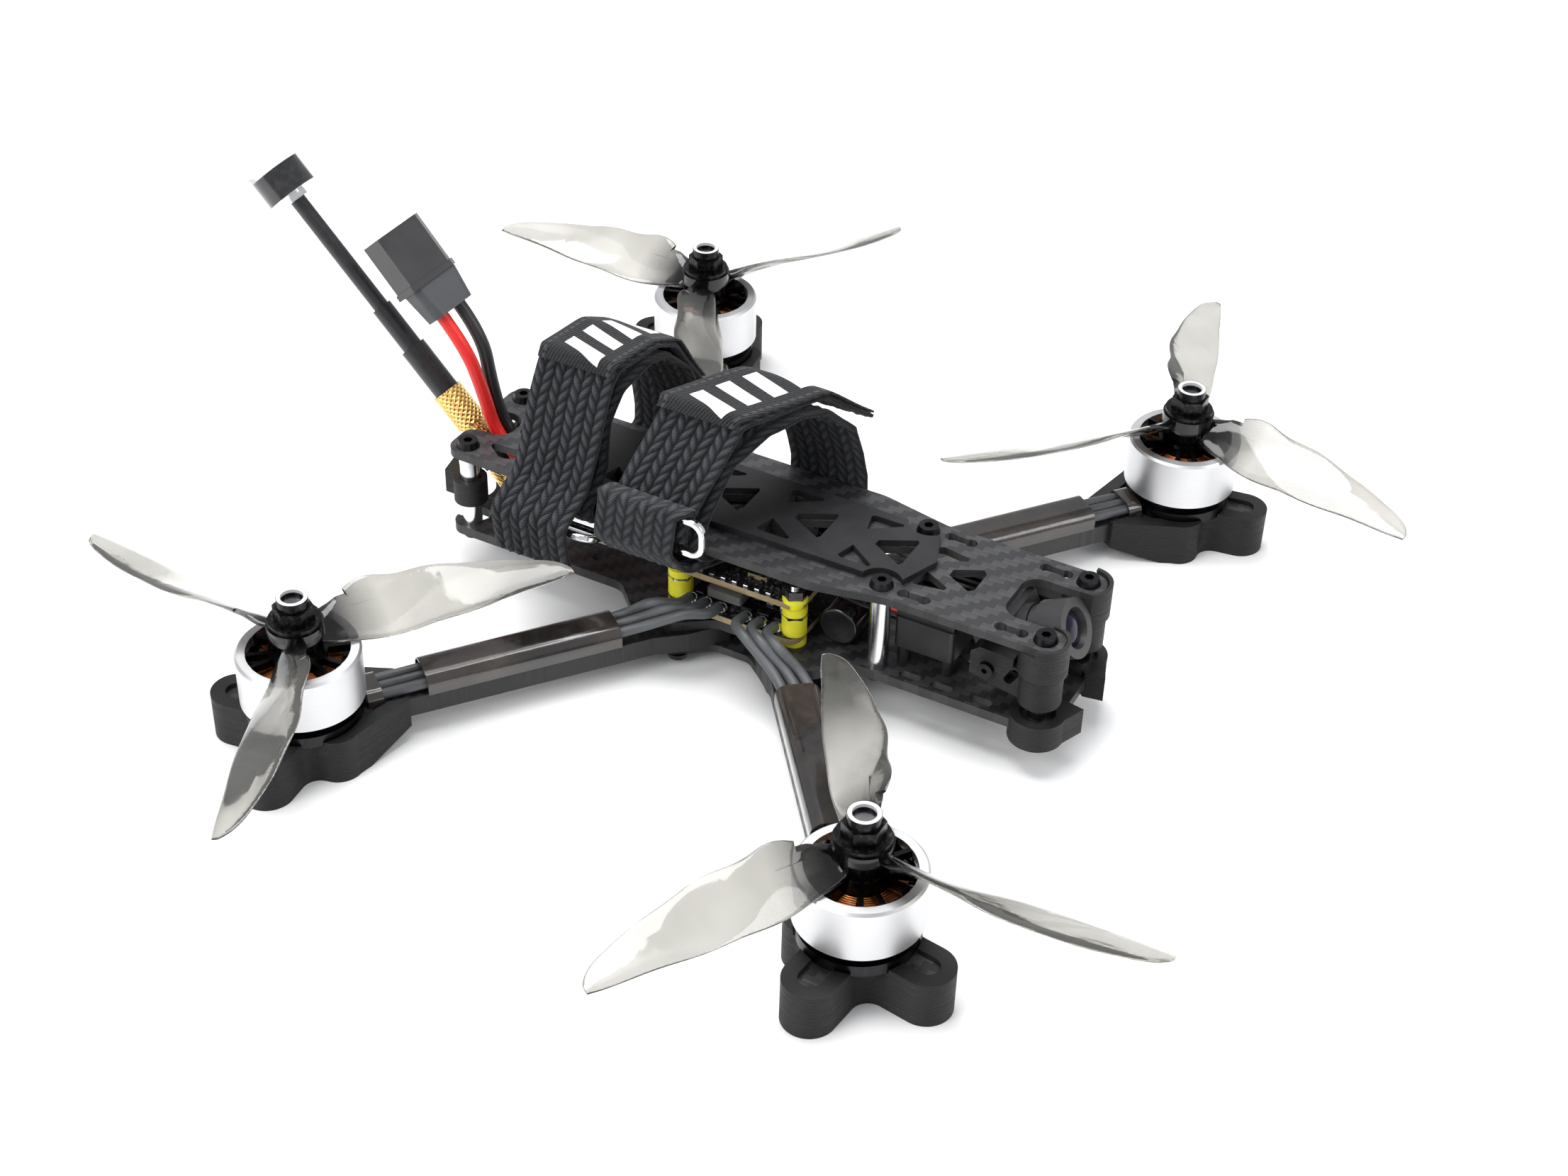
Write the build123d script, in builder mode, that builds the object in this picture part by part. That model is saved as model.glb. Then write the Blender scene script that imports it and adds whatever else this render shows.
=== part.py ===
"""Five-inch racing quadcopter, in millimetres.

+Z is up, -Y is the nose, +X is the craft's left. Sizes below are from a point on the ground
under the feet, midway between the four motors. The saved pieces' origin is AFT behind it, at
the middle of the craft's overall length.
"""
import os
from math import atan, atan2, cos, degrees, pi, radians, sin, sqrt, tan

from build123d import *

os.makedirs("parts", exist_ok=True)

# Layout
AFT = 4.0
MOTOR_X = 90.5          # motor axes, left and right of the middle
MOTOR_Y = 69.75         # motor axes, ahead of and behind the middle
CORNERS = {"fr": (-1, -1), "fl": (1, -1), "rr": (-1, 1), "rl": (1, 1)}
ARM_LENGTH = sqrt(MOTOR_X**2 + MOTOR_Y**2)

# Heights, from the ground up
SOLE = 5.4              # rubber under an arm
ARM_THICK = 5.0
BRACE_THICK = 2.0
MAIN_THICK = 2.5
STANDOFF_LENGTH = 20.0
TOP_THICK = 2.0
PAD_THICK = 1.6
ARM_TOP = SOLE + ARM_THICK
MAIN_TOP = ARM_TOP + MAIN_THICK
TOP_UNDER = MAIN_TOP + STANDOFF_LENGTH
TOP_TOP = TOP_UNDER + TOP_THICK

# Fasteners
M3_R = 1.5
M3_HOLE_R = 1.6
M3_HEAD_R = 2.85
M3_HEAD_HIGH = 1.65
HEX_KEY_R = 1.15
M2_R = 1.0
GAP = 0.1               # between pieces that are fastened together

# Plates
POST_X = 12.25          # standoffs each side of the middle
POST_YS = (-75.3, -34.9, 77.4)
POST_R = 2.5
NOSE_Y = -79.6
TAIL_Y = 81.8
TOP_HALF = 16.3         # half width at the nose and the tail
TOP_HALF_MID = 20.0
MAIN_HALF = 16.0
ROOT_HALF = 24.0        # half width of the main plate over the arm roots
WAIST_HALF = 17.5
CAMERA_SLOT_HALF = 8.0
CAMERA_SLOT_END = -62.3
TRUSS_PITCH = 21.0
TRUSS_START = -35.8     # rear edge of the battery field, nose side
TAIL_SLOT_Y = 71.4      # where the notch for the leads and the antenna starts
TAIL_SLOT_HALF = 5.1

# Arms and feet
ARM_WIDE = 9.6
ARM_INNER = 13.0        # where an arm ends, from the middle
LOBES = ((12.5, 12.0, 6.0), (-4.5, 9.3, 5.5))   # outwards, sideways, radius
CREASE_R = 4.0          # hollow corners between lobes
SKIRT_OUT = -22.5
SKIRT_HALF = 6.2
FOOT_WALL = 1.7
LIP_THICK = 1.0
LIP_WIDE = 3.4
ROOT_WIDE = 13.0        # an arm where it is clamped
ARM_BOLT_X = 21.2
ARM_BOLT_Y = 13.2

# Motors
BASE_R = 13.0
BASE_HIGH = 2.8
BELL_R = 14.0
BELL_HIGH = 12.46
BELL_WALL = 1.1
BELL_CAP = 1.8          # the bell's flat top
BELL_LIFT = 5.54        # bell's lower rim above the arm
MAGNET_THICK = 1.5
MAGNET_COUNT = 14
STATOR_R = 11.0
STATOR_HIGH = 7.4
TOOTH_COUNT = 12
SHAFT_R = 2.5
RUNNING = 0.05
TUBE_R = 4.5
BEARING_HIGH = 3.6
MOTOR_SCREW_R = 8.0
BELL_TOP = ARM_TOP + BELL_LIFT + BELL_HIGH

# Propellers
HUB_R = 6.4
HUB_HIGH = 7.6
PROP_PITCH = 104.0
# at each radius: leading edge and trailing edge from the blade's line, and thickness
BLADE = (
    (5.0, 3.6, -3.6, 2.6),
    (12.0, 6.4, -5.2, 1.9),
    (21.0, 8.2, -6.8, 1.5),
    (33.0, 7.4, -7.0, 1.3),
    (46.0, 4.6, -6.9, 1.1),
    (57.0, 1.2, -6.6, 0.9),
    (62.5, -1.6, -6.4, 0.8),
    (64.6, -4.2, -6.2, 0.7),
)
PROP_ANGLES = {"fr": 29.5, "fl": 17.8, "rr": 87.7, "rl": 86.8}
NUT_AF = 8.0
NUT_HIGH = 6.8
NUT_FLANGE_R = 5.9

# Wires
WIRE_R = 1.25
SLEEVE_WALL = 0.4

# Electronics stack
STACK_HALF = 15.25
STACK_Y = 0.6
BOARD_HALF = 17.6
BOARD_THICK = 1.6
ESC_UNDER = MAIN_TOP + 1.4
FC_UNDER = MAIN_TOP + 10.5
SOFT_R = 3.0            # rubber mounts: foot, and top, of the lower and the upper one
SOFT_LOW = (MAIN_TOP, MAIN_TOP + 7.8)
SOFT_HIGH = (MAIN_TOP + 8.6, MAIN_TOP + 13.5)
STACK_NUT_HIGH = 2.4
CAP_R = 4.9
VTX_Y = (-52.8, -37.8)
VTX_HALF = 10.25

# Camera
CAM_PIVOT = (0.0, -63.0, 23.8)
CAM_TILT = 26.0
CAM_HALF = 9.5
CAM_TALL = 15.6
CAM_BACK = 5.0          # behind the pivot
CAM_FRONT = 4.5
CAM_BARREL_R = 7.0
CAM_REACH = 16.6        # from the pivot to the front ring
CAM_LANE = 7.4          # half width kept free for the barrel as it tilts
CAM_MOUNT_INNER = 10.2
CAM_MOUNT_OUTER = 14.6

# Battery straps
STRAP_WIDE = 20.6
STRAP_THICK = 1.5
STRAP_TOP = 70.4
STRAP_LOW = TOP_UNDER - 2.2
STRAP_HALF = 22.2
STRAP_ROOM = 20.7         # half width inside the loops, beside the top plate
TAIL_LOW = 20.0
BUCKLE_LONG = 27.0
BUCKLE_HIGH = 10.6
BUCKLE_WIRE = 1.8
STRAPS = {"front": (7.0, 0.5), "rear": (43.5, 0.15)}    # y at the middle, slant across

# Antenna and power lead
AERIAL_ROOT = (0.0, 84.6, 32.0)
AERIAL_RISE = 45.5
STALK_R = 2.0
STALK_END = 70.4          # along the antenna, from its root to its head
HEAD_HIGH = 7.2
HEAD_CAP = 1.7
LEAD_R = 1.7
PLUG_CENTRE = (0.0, 94.7, 69.4)     # where the shell meets its cap
PLUG_AXIS = (0.0, 0.67, 0.742)
PLUG_WIDE_DIR = (0.97, -0.15, 0.14)


def write(piece, name):
    """Name a finished piece and save it."""
    placed = Pos(0, -AFT, 0) * piece
    placed.label = name
    export_step(placed, f"parts/{name}.step")


def arm_plane(corner, height):
    """A plane at a motor's axis with X pointing away from the middle."""
    side, end = CORNERS[corner]
    x, y = side * MOTOR_X, end * MOTOR_Y
    return Plane(origin=(x, y, height), x_dir=(x, y, 0), z_dir=(0, 0, 1))


def clover(grow):
    """The outline of a foot, drawn larger by grow."""
    with BuildSketch() as outline:
        for out, across, radius in LOBES:
            reach = sqrt(out**2 + across**2)
            for side in (1, -1):
                turn = degrees(atan2(side * across, out))
                with Locations((out / 2, side * across / 2)):
                    SlotCenterToCenter(reach, 2 * radius, rotation=turn)
        (inner_out, inner_across, inner_r) = LOBES[1]
        shoulder = inner_across + inner_r - 0.3
        Polygon(
            (inner_out - 1.5, shoulder), (inner_out - 1.5, -shoulder),
            (SKIRT_OUT, -SKIRT_HALF), (SKIRT_OUT, SKIRT_HALF), align=None,
        )
        offset(amount=CREASE_R, kind=Kind.ARC, mode=Mode.REPLACE)
        offset(amount=grow - CREASE_R, kind=Kind.ARC, mode=Mode.REPLACE)
    return outline.sketch


def make_arm(corner):
    inner = ARM_INNER - ARM_LENGTH
    side, end = CORNERS[corner]
    with BuildPart() as arm:
        with BuildSketch(arm_plane(corner, SOLE)):
            add(clover(-FOOT_WALL - GAP))
            Polygon(
                (0, ARM_WIDE / 2), (inner + 19, ARM_WIDE / 2), (inner + 11, ROOT_WIDE / 2),
                (inner, ROOT_WIDE / 2), (inner, -ROOT_WIDE / 2), (inner + 11, -ROOT_WIDE / 2),
                (inner + 19, -ARM_WIDE / 2), (0, -ARM_WIDE / 2), align=None,
            )
        extrude(amount=ARM_THICK)
        with BuildSketch(arm_plane(corner, SOLE)):
            Circle(3.0)
            with PolarLocations(MOTOR_SCREW_R, 4, start_angle=45):
                Circle(M3_HOLE_R)
        extrude(amount=ARM_THICK, mode=Mode.SUBTRACT)
        with BuildSketch(Plane.XY.offset(SOLE)):
            with Locations((side * STACK_HALF, STACK_Y + end * STACK_HALF),
                           (side * ARM_BOLT_X, end * ARM_BOLT_Y)):
                Circle(M3_HOLE_R)
        extrude(amount=ARM_THICK, mode=Mode.SUBTRACT)
    write(arm.part, f"arm_{corner}")


def make_foot(corner):
    with BuildPart() as foot:
        with BuildSketch(arm_plane(corner, 0)):
            add(clover(0))
        extrude(amount=ARM_TOP + LIP_THICK)
        with BuildSketch(arm_plane(corner, SOLE)):
            add(clover(-FOOT_WALL))
            with Locations((SKIRT_OUT, 0)):
                Rectangle(20, ARM_WIDE + 2 * GAP)
        extrude(amount=ARM_THICK, mode=Mode.SUBTRACT)
        with BuildSketch(arm_plane(corner, ARM_TOP)):
            add(clover(-LIP_WIDE))
            Circle(BASE_R + 0.3)
            with Locations((SKIRT_OUT, 0)):
                Rectangle(20, ARM_WIDE + 2 * GAP)
        extrude(amount=2 * LIP_THICK, mode=Mode.SUBTRACT)
        with BuildSketch(arm_plane(corner, 0)):
            with PolarLocations(MOTOR_SCREW_R, 4, start_angle=45):
                Circle(M3_HEAD_R + 0.4)
            Circle(3.2)
        extrude(amount=ARM_TOP, mode=Mode.SUBTRACT)
        base = arm_plane(corner, 0)
        with BuildSketch(Plane(origin=base.origin, x_dir=base.x_dir, z_dir=-base.y_dir)):
            Polygon((-11, 0), (SKIRT_OUT - 1, 0), (SKIRT_OUT - 1, SOLE - 1.2), align=None)
        extrude(amount=40, both=True, mode=Mode.SUBTRACT)
    write(foot.part, f"foot_{corner}")


def plate_outline(half, nose, tail):
    """Outline of the main plate between two ends, with its waist and arm roots."""
    right = [
        (half, nose), (half, -31), (ROOT_HALF, -23), (ROOT_HALF, -12.5), (WAIST_HALF, -4),
        (WAIST_HALF, 5), (ROOT_HALF, 13.5), (ROOT_HALF, 24), (half, 32), (half, tail),
    ]
    left = [(-x, y) for x, y in reversed(right)]
    Polygon(*right, *left, align=None)


def truss_windows(rows, shrink):
    """Triangular windows: one pair and one single in each bay of the deck."""
    for row in rows:
        y = TRUSS_START + row * TRUSS_PITCH
        Polygon(
            (0.9, y + 8.3 - shrink), (-0.9, y + 8.3 - shrink),
            (-5.4 + shrink, y + 0.2), (-4.6 + shrink, y - 0.4 + shrink),
            (4.6 - shrink, y - 0.4 + shrink), (5.4 - shrink, y + 0.2), align=None,
        )
        for side in (1, -1):
            Polygon(
                (side * 3.6, y + 12.6), (side * (8.8 - shrink), y + 14.0),
                (side * (9.4 - shrink), y + 13.2), (side * (9.4 - shrink), y + 5.8 + shrink),
                (side * (8.6 - shrink), y + 5.6 + shrink), align=None,
            )


def make_plates():
    with BuildPart() as main_plate:
        with BuildSketch(Plane.XY.offset(ARM_TOP)) as outline:
            plate_outline(MAIN_HALF, NOSE_Y, TAIL_Y)
            inner = [v for v in outline.vertices() if abs(v.Y) < 60]
            fillet(inner, 5.0)
            ends = [v for v in outline.vertices() if abs(v.Y) > 75]
            fillet(ends, 3.6)
        extrude(amount=MAIN_THICK)
        with BuildSketch(Plane.XY.offset(ARM_TOP)):
            with Locations(*[(s * POST_X, y) for s in (1, -1) for y in POST_YS]):
                Circle(M3_HOLE_R)
            with Locations((0, STACK_Y)):
                with GridLocations(2 * STACK_HALF, 2 * STACK_HALF, 2, 2):
                    Circle(M3_HOLE_R)
                Circle(5.5)
            with GridLocations(2 * ARM_BOLT_X, 2 * ARM_BOLT_Y, 2, 2):
                Circle(M3_HOLE_R)
            with Locations((0, 52)):
                with GridLocations(20, 20, 2, 2):
                    Circle(M3_HOLE_R)
                RectangleRounded(10, 22, 2.5)
            with Locations((0, -56)):
                Polygon((-4.5, -7), (4.5, -7), (0.8, 5.5), (-0.8, 5.5), align=None)
            with Locations(*[(s * 13.3, y) for s in (1, -1) for y in (-44, -52, -62)]):
                RectangleRounded(2.0, 5.4, 0.9)
            with Locations(*[(s * 9.4, TAIL_Y - 2.3) for s in (1, -1)]):
                SlotCenterToCenter(4.6, 5.6, rotation=90)
            with Locations((0, TAIL_Y + 4)):
                Circle(6.0)
        extrude(amount=MAIN_THICK, mode=Mode.SUBTRACT)
    write(main_plate.part, "main_plate")

    with BuildPart() as brace_plate:
        with BuildSketch(Plane.XY.offset(SOLE - BRACE_THICK)) as outline:
            right = [(MAIN_HALF, -27), (ROOT_HALF, -22), (ROOT_HALF, -12.5), (WAIST_HALF, -4),
                     (WAIST_HALF, 5), (ROOT_HALF, 13.5), (ROOT_HALF, 23), (MAIN_HALF, 28)]
            left = [(-x, y) for x, y in reversed(right)]
            Polygon(*right, *left, align=None)
            fillet(outline.vertices(), 3.4)
        extrude(amount=BRACE_THICK)
        with BuildSketch(Plane.XY.offset(SOLE - BRACE_THICK)):
            with Locations((0, STACK_Y)):
                with GridLocations(2 * STACK_HALF, 2 * STACK_HALF, 2, 2):
                    Circle(M3_HOLE_R)
                Circle(7)
            with GridLocations(2 * ARM_BOLT_X, 2 * ARM_BOLT_Y, 2, 2):
                Circle(M3_HOLE_R)
        extrude(amount=BRACE_THICK, mode=Mode.SUBTRACT)
    write(brace_plate.part, "brace_plate")

    right = [
        (CAMERA_SLOT_HALF, CAMERA_SLOT_END), (CAMERA_SLOT_HALF, NOSE_Y), (TOP_HALF, NOSE_Y),
        (TOP_HALF, -38), (TOP_HALF_MID, -20), (TOP_HALF_MID, 18), (TOP_HALF, 36),
        (TOP_HALF, TAIL_Y), (TAIL_SLOT_HALF, TAIL_Y), (TAIL_SLOT_HALF, TAIL_SLOT_Y),
    ]
    with BuildPart() as top_plate:
        with BuildSketch(Plane.XY.offset(TOP_UNDER)) as outline:
            left = [(-x, y) for x, y in reversed(right)]
            Polygon(*right, *left, align=None)
            fillet([v for v in outline.vertices() if abs(v.X) > 15 and abs(v.Y) > 70], 4.0)
            fillet([v for v in outline.vertices() if abs(v.X) < 9 and abs(v.Y) > 75], 3.2)
            fillet([v for v in outline.vertices() if abs(v.X) < 9 and abs(v.Y) < 75], 4.2)
            fillet([v for v in outline.vertices() if abs(v.Y) < 60 and abs(v.X) > 15], 12.0)
        extrude(amount=TOP_THICK)
        with BuildSketch(Plane.XY.offset(TOP_UNDER)):
            with Locations(*[(s * POST_X, y) for s in (1, -1) for y in POST_YS]):
                Circle(M3_HOLE_R)
            truss_windows(range(1, 5), 0.7)
            Polygon((-1.2, -46.6), (1.2, -46.6), (4.6, -52.8), (3.4, -54), (-3.4, -54), (-4.6, -52.8),
                    align=None)
            Polygon((0.9, -27.6), (-0.9, -27.6), (-4.6, -35.4), (4.6, -35.4), align=None)
            for s in (1, -1):
                Polygon((s * 2.2, -41.4), (s * 7.6, -40.2), (s * 8.2, -41.2), (s * 7.0, -48.0),
                        (s * 5.8, -48.2), align=None)
                for y in (-67.2, -43.2):
                    with Locations((s * 12.7, y)):
                        SlotCenterToCenter(5.2, 2.0, rotation=90)
                    with Locations((s * 12.7, y - 2.6), (s * 12.7, y + 2.6)):
                        Circle(1.45)
                Polygon((s * 7.6, 60.8), (s * 12.6, 66.0), (s * 12.6, 68.4), (s * 9.6, 72.6),
                        (s * 8.4, 72.6), align=None)
            with Locations((0, 68.4)):
                Circle(1.7)
        extrude(amount=TOP_THICK, mode=Mode.SUBTRACT)
    write(top_plate.part, "top_plate")

    with BuildPart() as battery_pad:
        with BuildSketch(Plane.XY.offset(TOP_TOP)) as outline:
            right = [(11.8, -38.4), (12.2, 58), (9, 61)]
            left = [(-x, y) for x, y in reversed(right)]
            Polygon((0, -42.8), *right, *left, align=None)
            with Locations(*[(s * (POST_X + 1), POST_YS[1]) for s in (1, -1)]):
                Circle(5.2, mode=Mode.SUBTRACT)
        extrude(amount=PAD_THICK)
        with BuildSketch(Plane.XY.offset(TOP_TOP)):
            truss_windows(range(0, 5), 0)
        extrude(amount=PAD_THICK, mode=Mode.SUBTRACT)
    write(battery_pad.part, "battery_pad")


def button_screw(length):
    """A button-head socket screw pointing down, its head's underside at the origin."""
    with BuildPart() as screw:
        with BuildSketch():
            Circle(M3_HEAD_R)
        extrude(amount=M3_HEAD_HIGH, taper=18)
        with BuildSketch(Plane.XY.offset(M3_HEAD_HIGH - 1.1)):
            RegularPolygon(HEX_KEY_R, 6)
        extrude(amount=2, mode=Mode.SUBTRACT)
        with BuildSketch():
            Circle(M3_R)
        extrude(amount=-length)
    return screw.part


def make_frame_hardware():
    posts = [(x, y) for x in (POST_X, -POST_X) for y in POST_YS]
    with BuildPart() as standoffs:
        with BuildSketch(Plane.XY.offset(MAIN_TOP)):
            with Locations(*posts):
                Circle(POST_R)
                Circle(M3_HOLE_R, mode=Mode.SUBTRACT)
        extrude(amount=STANDOFF_LENGTH)
    write(standoffs.part, "standoffs")

    turned_over = Rot(180, 0, 0)
    with BuildPart() as frame_screws:
        for x, y in posts:
            add(Pos(x, y, TOP_TOP) * button_screw(8))
            add(Pos(x, y, ARM_TOP) * turned_over * button_screw(8))
        for s, e in CORNERS.values():
            add(Pos(s * ARM_BOLT_X, e * ARM_BOLT_Y, SOLE - BRACE_THICK) * turned_over
                * button_screw(BRACE_THICK + ARM_THICK + MAIN_THICK))
    write(frame_screws.part, "frame_screws")

    with BuildPart() as motor_screws:
        for corner in CORNERS:
            base = arm_plane(corner, SOLE)
            for k in range(4):
                turn = radians(45 + 90 * k)
                at = base.from_local_coords((MOTOR_SCREW_R * cos(turn), MOTOR_SCREW_R * sin(turn), 0))
                add(Pos(at.X, at.Y, SOLE) * turned_over * button_screw(ARM_THICK + 2))
    write(motor_screws.part, "motor_screws")


def make_motor_statics():
    stack_low = ARM_TOP + BELL_LIFT + 1.6
    tube_top = BELL_TOP - BELL_CAP - 0.4
    bearings_low = (ARM_TOP + 1.6, tube_top - BEARING_HIGH - 0.2)
    bearing_bore = 3.9
    with BuildPart() as motor_bases:
        for corner in CORNERS:
            with BuildSketch(arm_plane(corner, ARM_TOP)):
                Circle(BASE_R)
            extrude(amount=BASE_HIGH)
            with BuildSketch(arm_plane(corner, ARM_TOP + BASE_HIGH)):
                Circle(STATOR_R)
            extrude(amount=BELL_LIFT - BASE_HIGH - 0.5)
            with BuildSketch(arm_plane(corner, ARM_TOP)):
                Circle(TUBE_R)
            extrude(amount=tube_top - ARM_TOP)
            with BuildSketch(arm_plane(corner, ARM_TOP)):
                with PolarLocations(MOTOR_SCREW_R, 4, start_angle=45):
                    Circle(M3_HOLE_R)
                with PolarLocations(MOTOR_SCREW_R + 0.6, 4):
                    SlotCenterToCenter(3.2, 3.4, rotation=90)
            extrude(amount=BASE_HIGH + 3, mode=Mode.SUBTRACT)
            with BuildSketch(arm_plane(corner, ARM_TOP)):
                Circle(bearing_bore)
            extrude(amount=BELL_HIGH + BELL_LIFT, mode=Mode.SUBTRACT)
    write(motor_bases.part, "motor_bases")

    with BuildPart() as bearings:
        for corner in CORNERS:
            for low in bearings_low:
                with BuildSketch(arm_plane(corner, low)):
                    Circle(bearing_bore - 0.02)
                    Circle(SHAFT_R + RUNNING, mode=Mode.SUBTRACT)
                extrude(amount=BEARING_HIGH)
    write(bearings.part, "bearings")

    tooth_in, tooth_out = TUBE_R + 0.4, STATOR_R - 0.6
    with BuildPart() as stator_cores:
        for corner in CORNERS:
            with BuildSketch(arm_plane(corner, stack_low)):
                Circle(STATOR_R)
                Circle(STATOR_R - 1.3, mode=Mode.SUBTRACT)
                with PolarLocations(STATOR_R, TOOTH_COUNT, start_angle=15):
                    Rectangle(3, 1.0, mode=Mode.SUBTRACT)
                with PolarLocations((tooth_in + tooth_out) / 2, TOOTH_COUNT):
                    Rectangle(tooth_out - tooth_in, 1.5)
                Circle(TUBE_R + 1.4)
                Circle(TUBE_R + 0.02, mode=Mode.SUBTRACT)
            extrude(amount=STATOR_HIGH)
    write(stator_cores.part, "stator_cores")

    coil_in, coil_out = TUBE_R + 1.6, STATOR_R - 1.6
    with BuildPart() as coils:
        for corner in CORNERS:
            with BuildSketch(arm_plane(corner, stack_low - 0.9)):
                with PolarLocations(0, TOOTH_COUNT):
                    Polygon((coil_in, -1.3), (coil_out, -2.05), (coil_out, 2.05), (coil_in, 1.3),
                            align=None)
            extrude(amount=STATOR_HIGH + 1.8)
            with BuildSketch(arm_plane(corner, stack_low - 0.02)):
                with PolarLocations((STATOR_R + TUBE_R) / 2, TOOTH_COUNT):
                    Rectangle(STATOR_R - TUBE_R + 2, 1.54)
            extrude(amount=STATOR_HIGH + 0.04, mode=Mode.SUBTRACT)
    write(coils.part, "coils")


def make_bell(corner):
    low = ARM_TOP + BELL_LIFT
    window_in, window_out = 6.6, 11.6
    spoke = 1.15
    with BuildPart() as bell:
        with BuildSketch(arm_plane(corner, low)):
            Circle(BELL_R)
            Circle(BELL_R - BELL_WALL, mode=Mode.SUBTRACT)
        extrude(amount=BELL_HIGH - BELL_CAP)
        with BuildSketch(arm_plane(corner, low + BELL_HIGH - BELL_CAP)):
            Circle(BELL_R)
        extrude(amount=BELL_CAP)
        chamfer(bell.edges().filter_by(GeomType.CIRCLE).group_by(Axis.Z)[-1], 0.55)
        with BuildSketch(arm_plane(corner, low + BELL_HIGH - 2.5)):
            Circle(window_out)
            Circle(window_in, mode=Mode.SUBTRACT)
            # six wide windows and six narrow ones between thin spokes
            for k in range(6):
                for turn in (60 * k - 11.5, 60 * k + 11.5):
                    with Locations((9.1 * cos(radians(turn)), 9.1 * sin(radians(turn)))):
                        Rectangle(8, spoke, rotation=turn, mode=Mode.SUBTRACT)
        extrude(amount=3.0, mode=Mode.SUBTRACT)
        with BuildSketch(arm_plane(corner, ARM_TOP + 0.5)):
            Circle(SHAFT_R)
        extrude(amount=BELL_TOP + HUB_HIGH + NUT_HIGH - 1.6 - ARM_TOP - 0.5)
    write(bell.part, f"bell_{corner}")

    inner = BELL_R - BELL_WALL - MAGNET_THICK
    with BuildPart() as magnets:
        with BuildSketch(arm_plane(corner, low + 0.8)):
            Circle(BELL_R - BELL_WALL)
            Circle(inner, mode=Mode.SUBTRACT)
            with PolarLocations(BELL_R - 1.5, MAGNET_COUNT):
                Rectangle(5, 0.7, mode=Mode.SUBTRACT)
        extrude(amount=BELL_HIGH - BELL_CAP - 0.9)
    write(magnets.part, f"magnets_{corner}")


def make_prop(corner):
    side, end = CORNERS[corner]
    clockwise = side == end                 # seen from above
    x, y = side * MOTOR_X, end * MOTOR_Y
    blade_high = 0.52 * HUB_HIGH
    with BuildPart() as blade:
        for radius, lead, trail, thick in BLADE:
            pitch = atan(PROP_PITCH / (2 * pi * max(radius, 18)))
            across = (0, -cos(pitch), sin(pitch))
            here = Plane(origin=(radius, 0, blade_high), x_dir=across, z_dir=(1, 0, 0))
            with BuildSketch(here):
                with Locations(((lead + trail) / 2, 0)):
                    Ellipse((lead - trail) / 2, thick / 2)
        loft()
    one = blade.part if clockwise else mirror(blade.part, about=Plane.XZ)
    with BuildPart() as prop:
        with BuildSketch():
            Circle(HUB_R - 0.6)
        extrude(amount=HUB_HIGH)
        with BuildSketch(Plane.XY.offset(0.6 * HUB_HIGH)):
            Circle(HUB_R)
        extrude(amount=0.4 * HUB_HIGH)
        for k in range(3):
            add(Rot(0, 0, PROP_ANGLES[corner] + 120 * k) * one)
        with BuildSketch(Plane.XY.offset(-10)):
            Circle(SHAFT_R + GAP / 2)
        extrude(amount=30, mode=Mode.SUBTRACT)
        for level, way in ((0, -1), (HUB_HIGH, 1)):
            with BuildSketch(Plane.XY.offset(level)):
                Circle(BELL_R)
            extrude(amount=way * 8, mode=Mode.SUBTRACT)
    write(Pos(x, y, BELL_TOP) * prop.part, f"prop_{corner}")


def make_prop_nut(corner):
    side, end = CORNERS[corner]
    seat = Plane(origin=(side * MOTOR_X, end * MOTOR_Y, BELL_TOP + HUB_HIGH))
    with BuildPart() as nut:
        with BuildSketch(seat):
            Circle(NUT_FLANGE_R)
        extrude(amount=1.1)
        with BuildSketch(seat.offset(1.1)):
            RegularPolygon(NUT_AF / 2, 6, major_radius=False)
        extrude(amount=3.4)
        with BuildSketch(seat.offset(4.5)):
            Circle(NUT_AF / 2 - 0.45)
        extrude(amount=NUT_HIGH - 4.5)
        with BuildSketch(seat):
            Circle(SHAFT_R + GAP / 2)
        extrude(amount=NUT_HIGH, mode=Mode.SUBTRACT)
    write(nut.part, f"prop_nut_{corner}")


def lead_tube(points, radius, name):
    """A round lead along straight runs joined by arcs as large as the runs allow."""
    path = [Vector(*p) for p in points]
    radii = []
    for a, b, c in zip(path, path[1:], path[2:]):
        turn = radians((b - a).get_angle(c - b))
        shorter = min((b - a).length, (c - b).length)
        radii.append(0.45 * shorter / tan(turn / 2))
    print(name, "arc radii", [round(r, 1) for r in radii])
    with BuildPart() as tube:
        with BuildLine() as route:
            FilletPolyline(*path, radius=radii)
        with BuildSketch(Plane(origin=path[0], z_dir=path[1] - path[0])):
            Circle(radius)
        sweep(path=route.wires()[0])
    return tube.part


def sleeve_tunnel(half, high):
    """Outline of a flat-bottomed sleeve lying on an arm, in the current sketch."""
    with BuildSketch() as outline:
        with Locations((0, high / 2)):
            Rectangle(2 * half, high)
        tops = outline.vertices().group_by(Axis.Y)[-1]
        fillet(tops, 0.62 * high)
        offset(amount=-SLEEVE_WALL, mode=Mode.SUBTRACT)
    return outline.sketch


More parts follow.
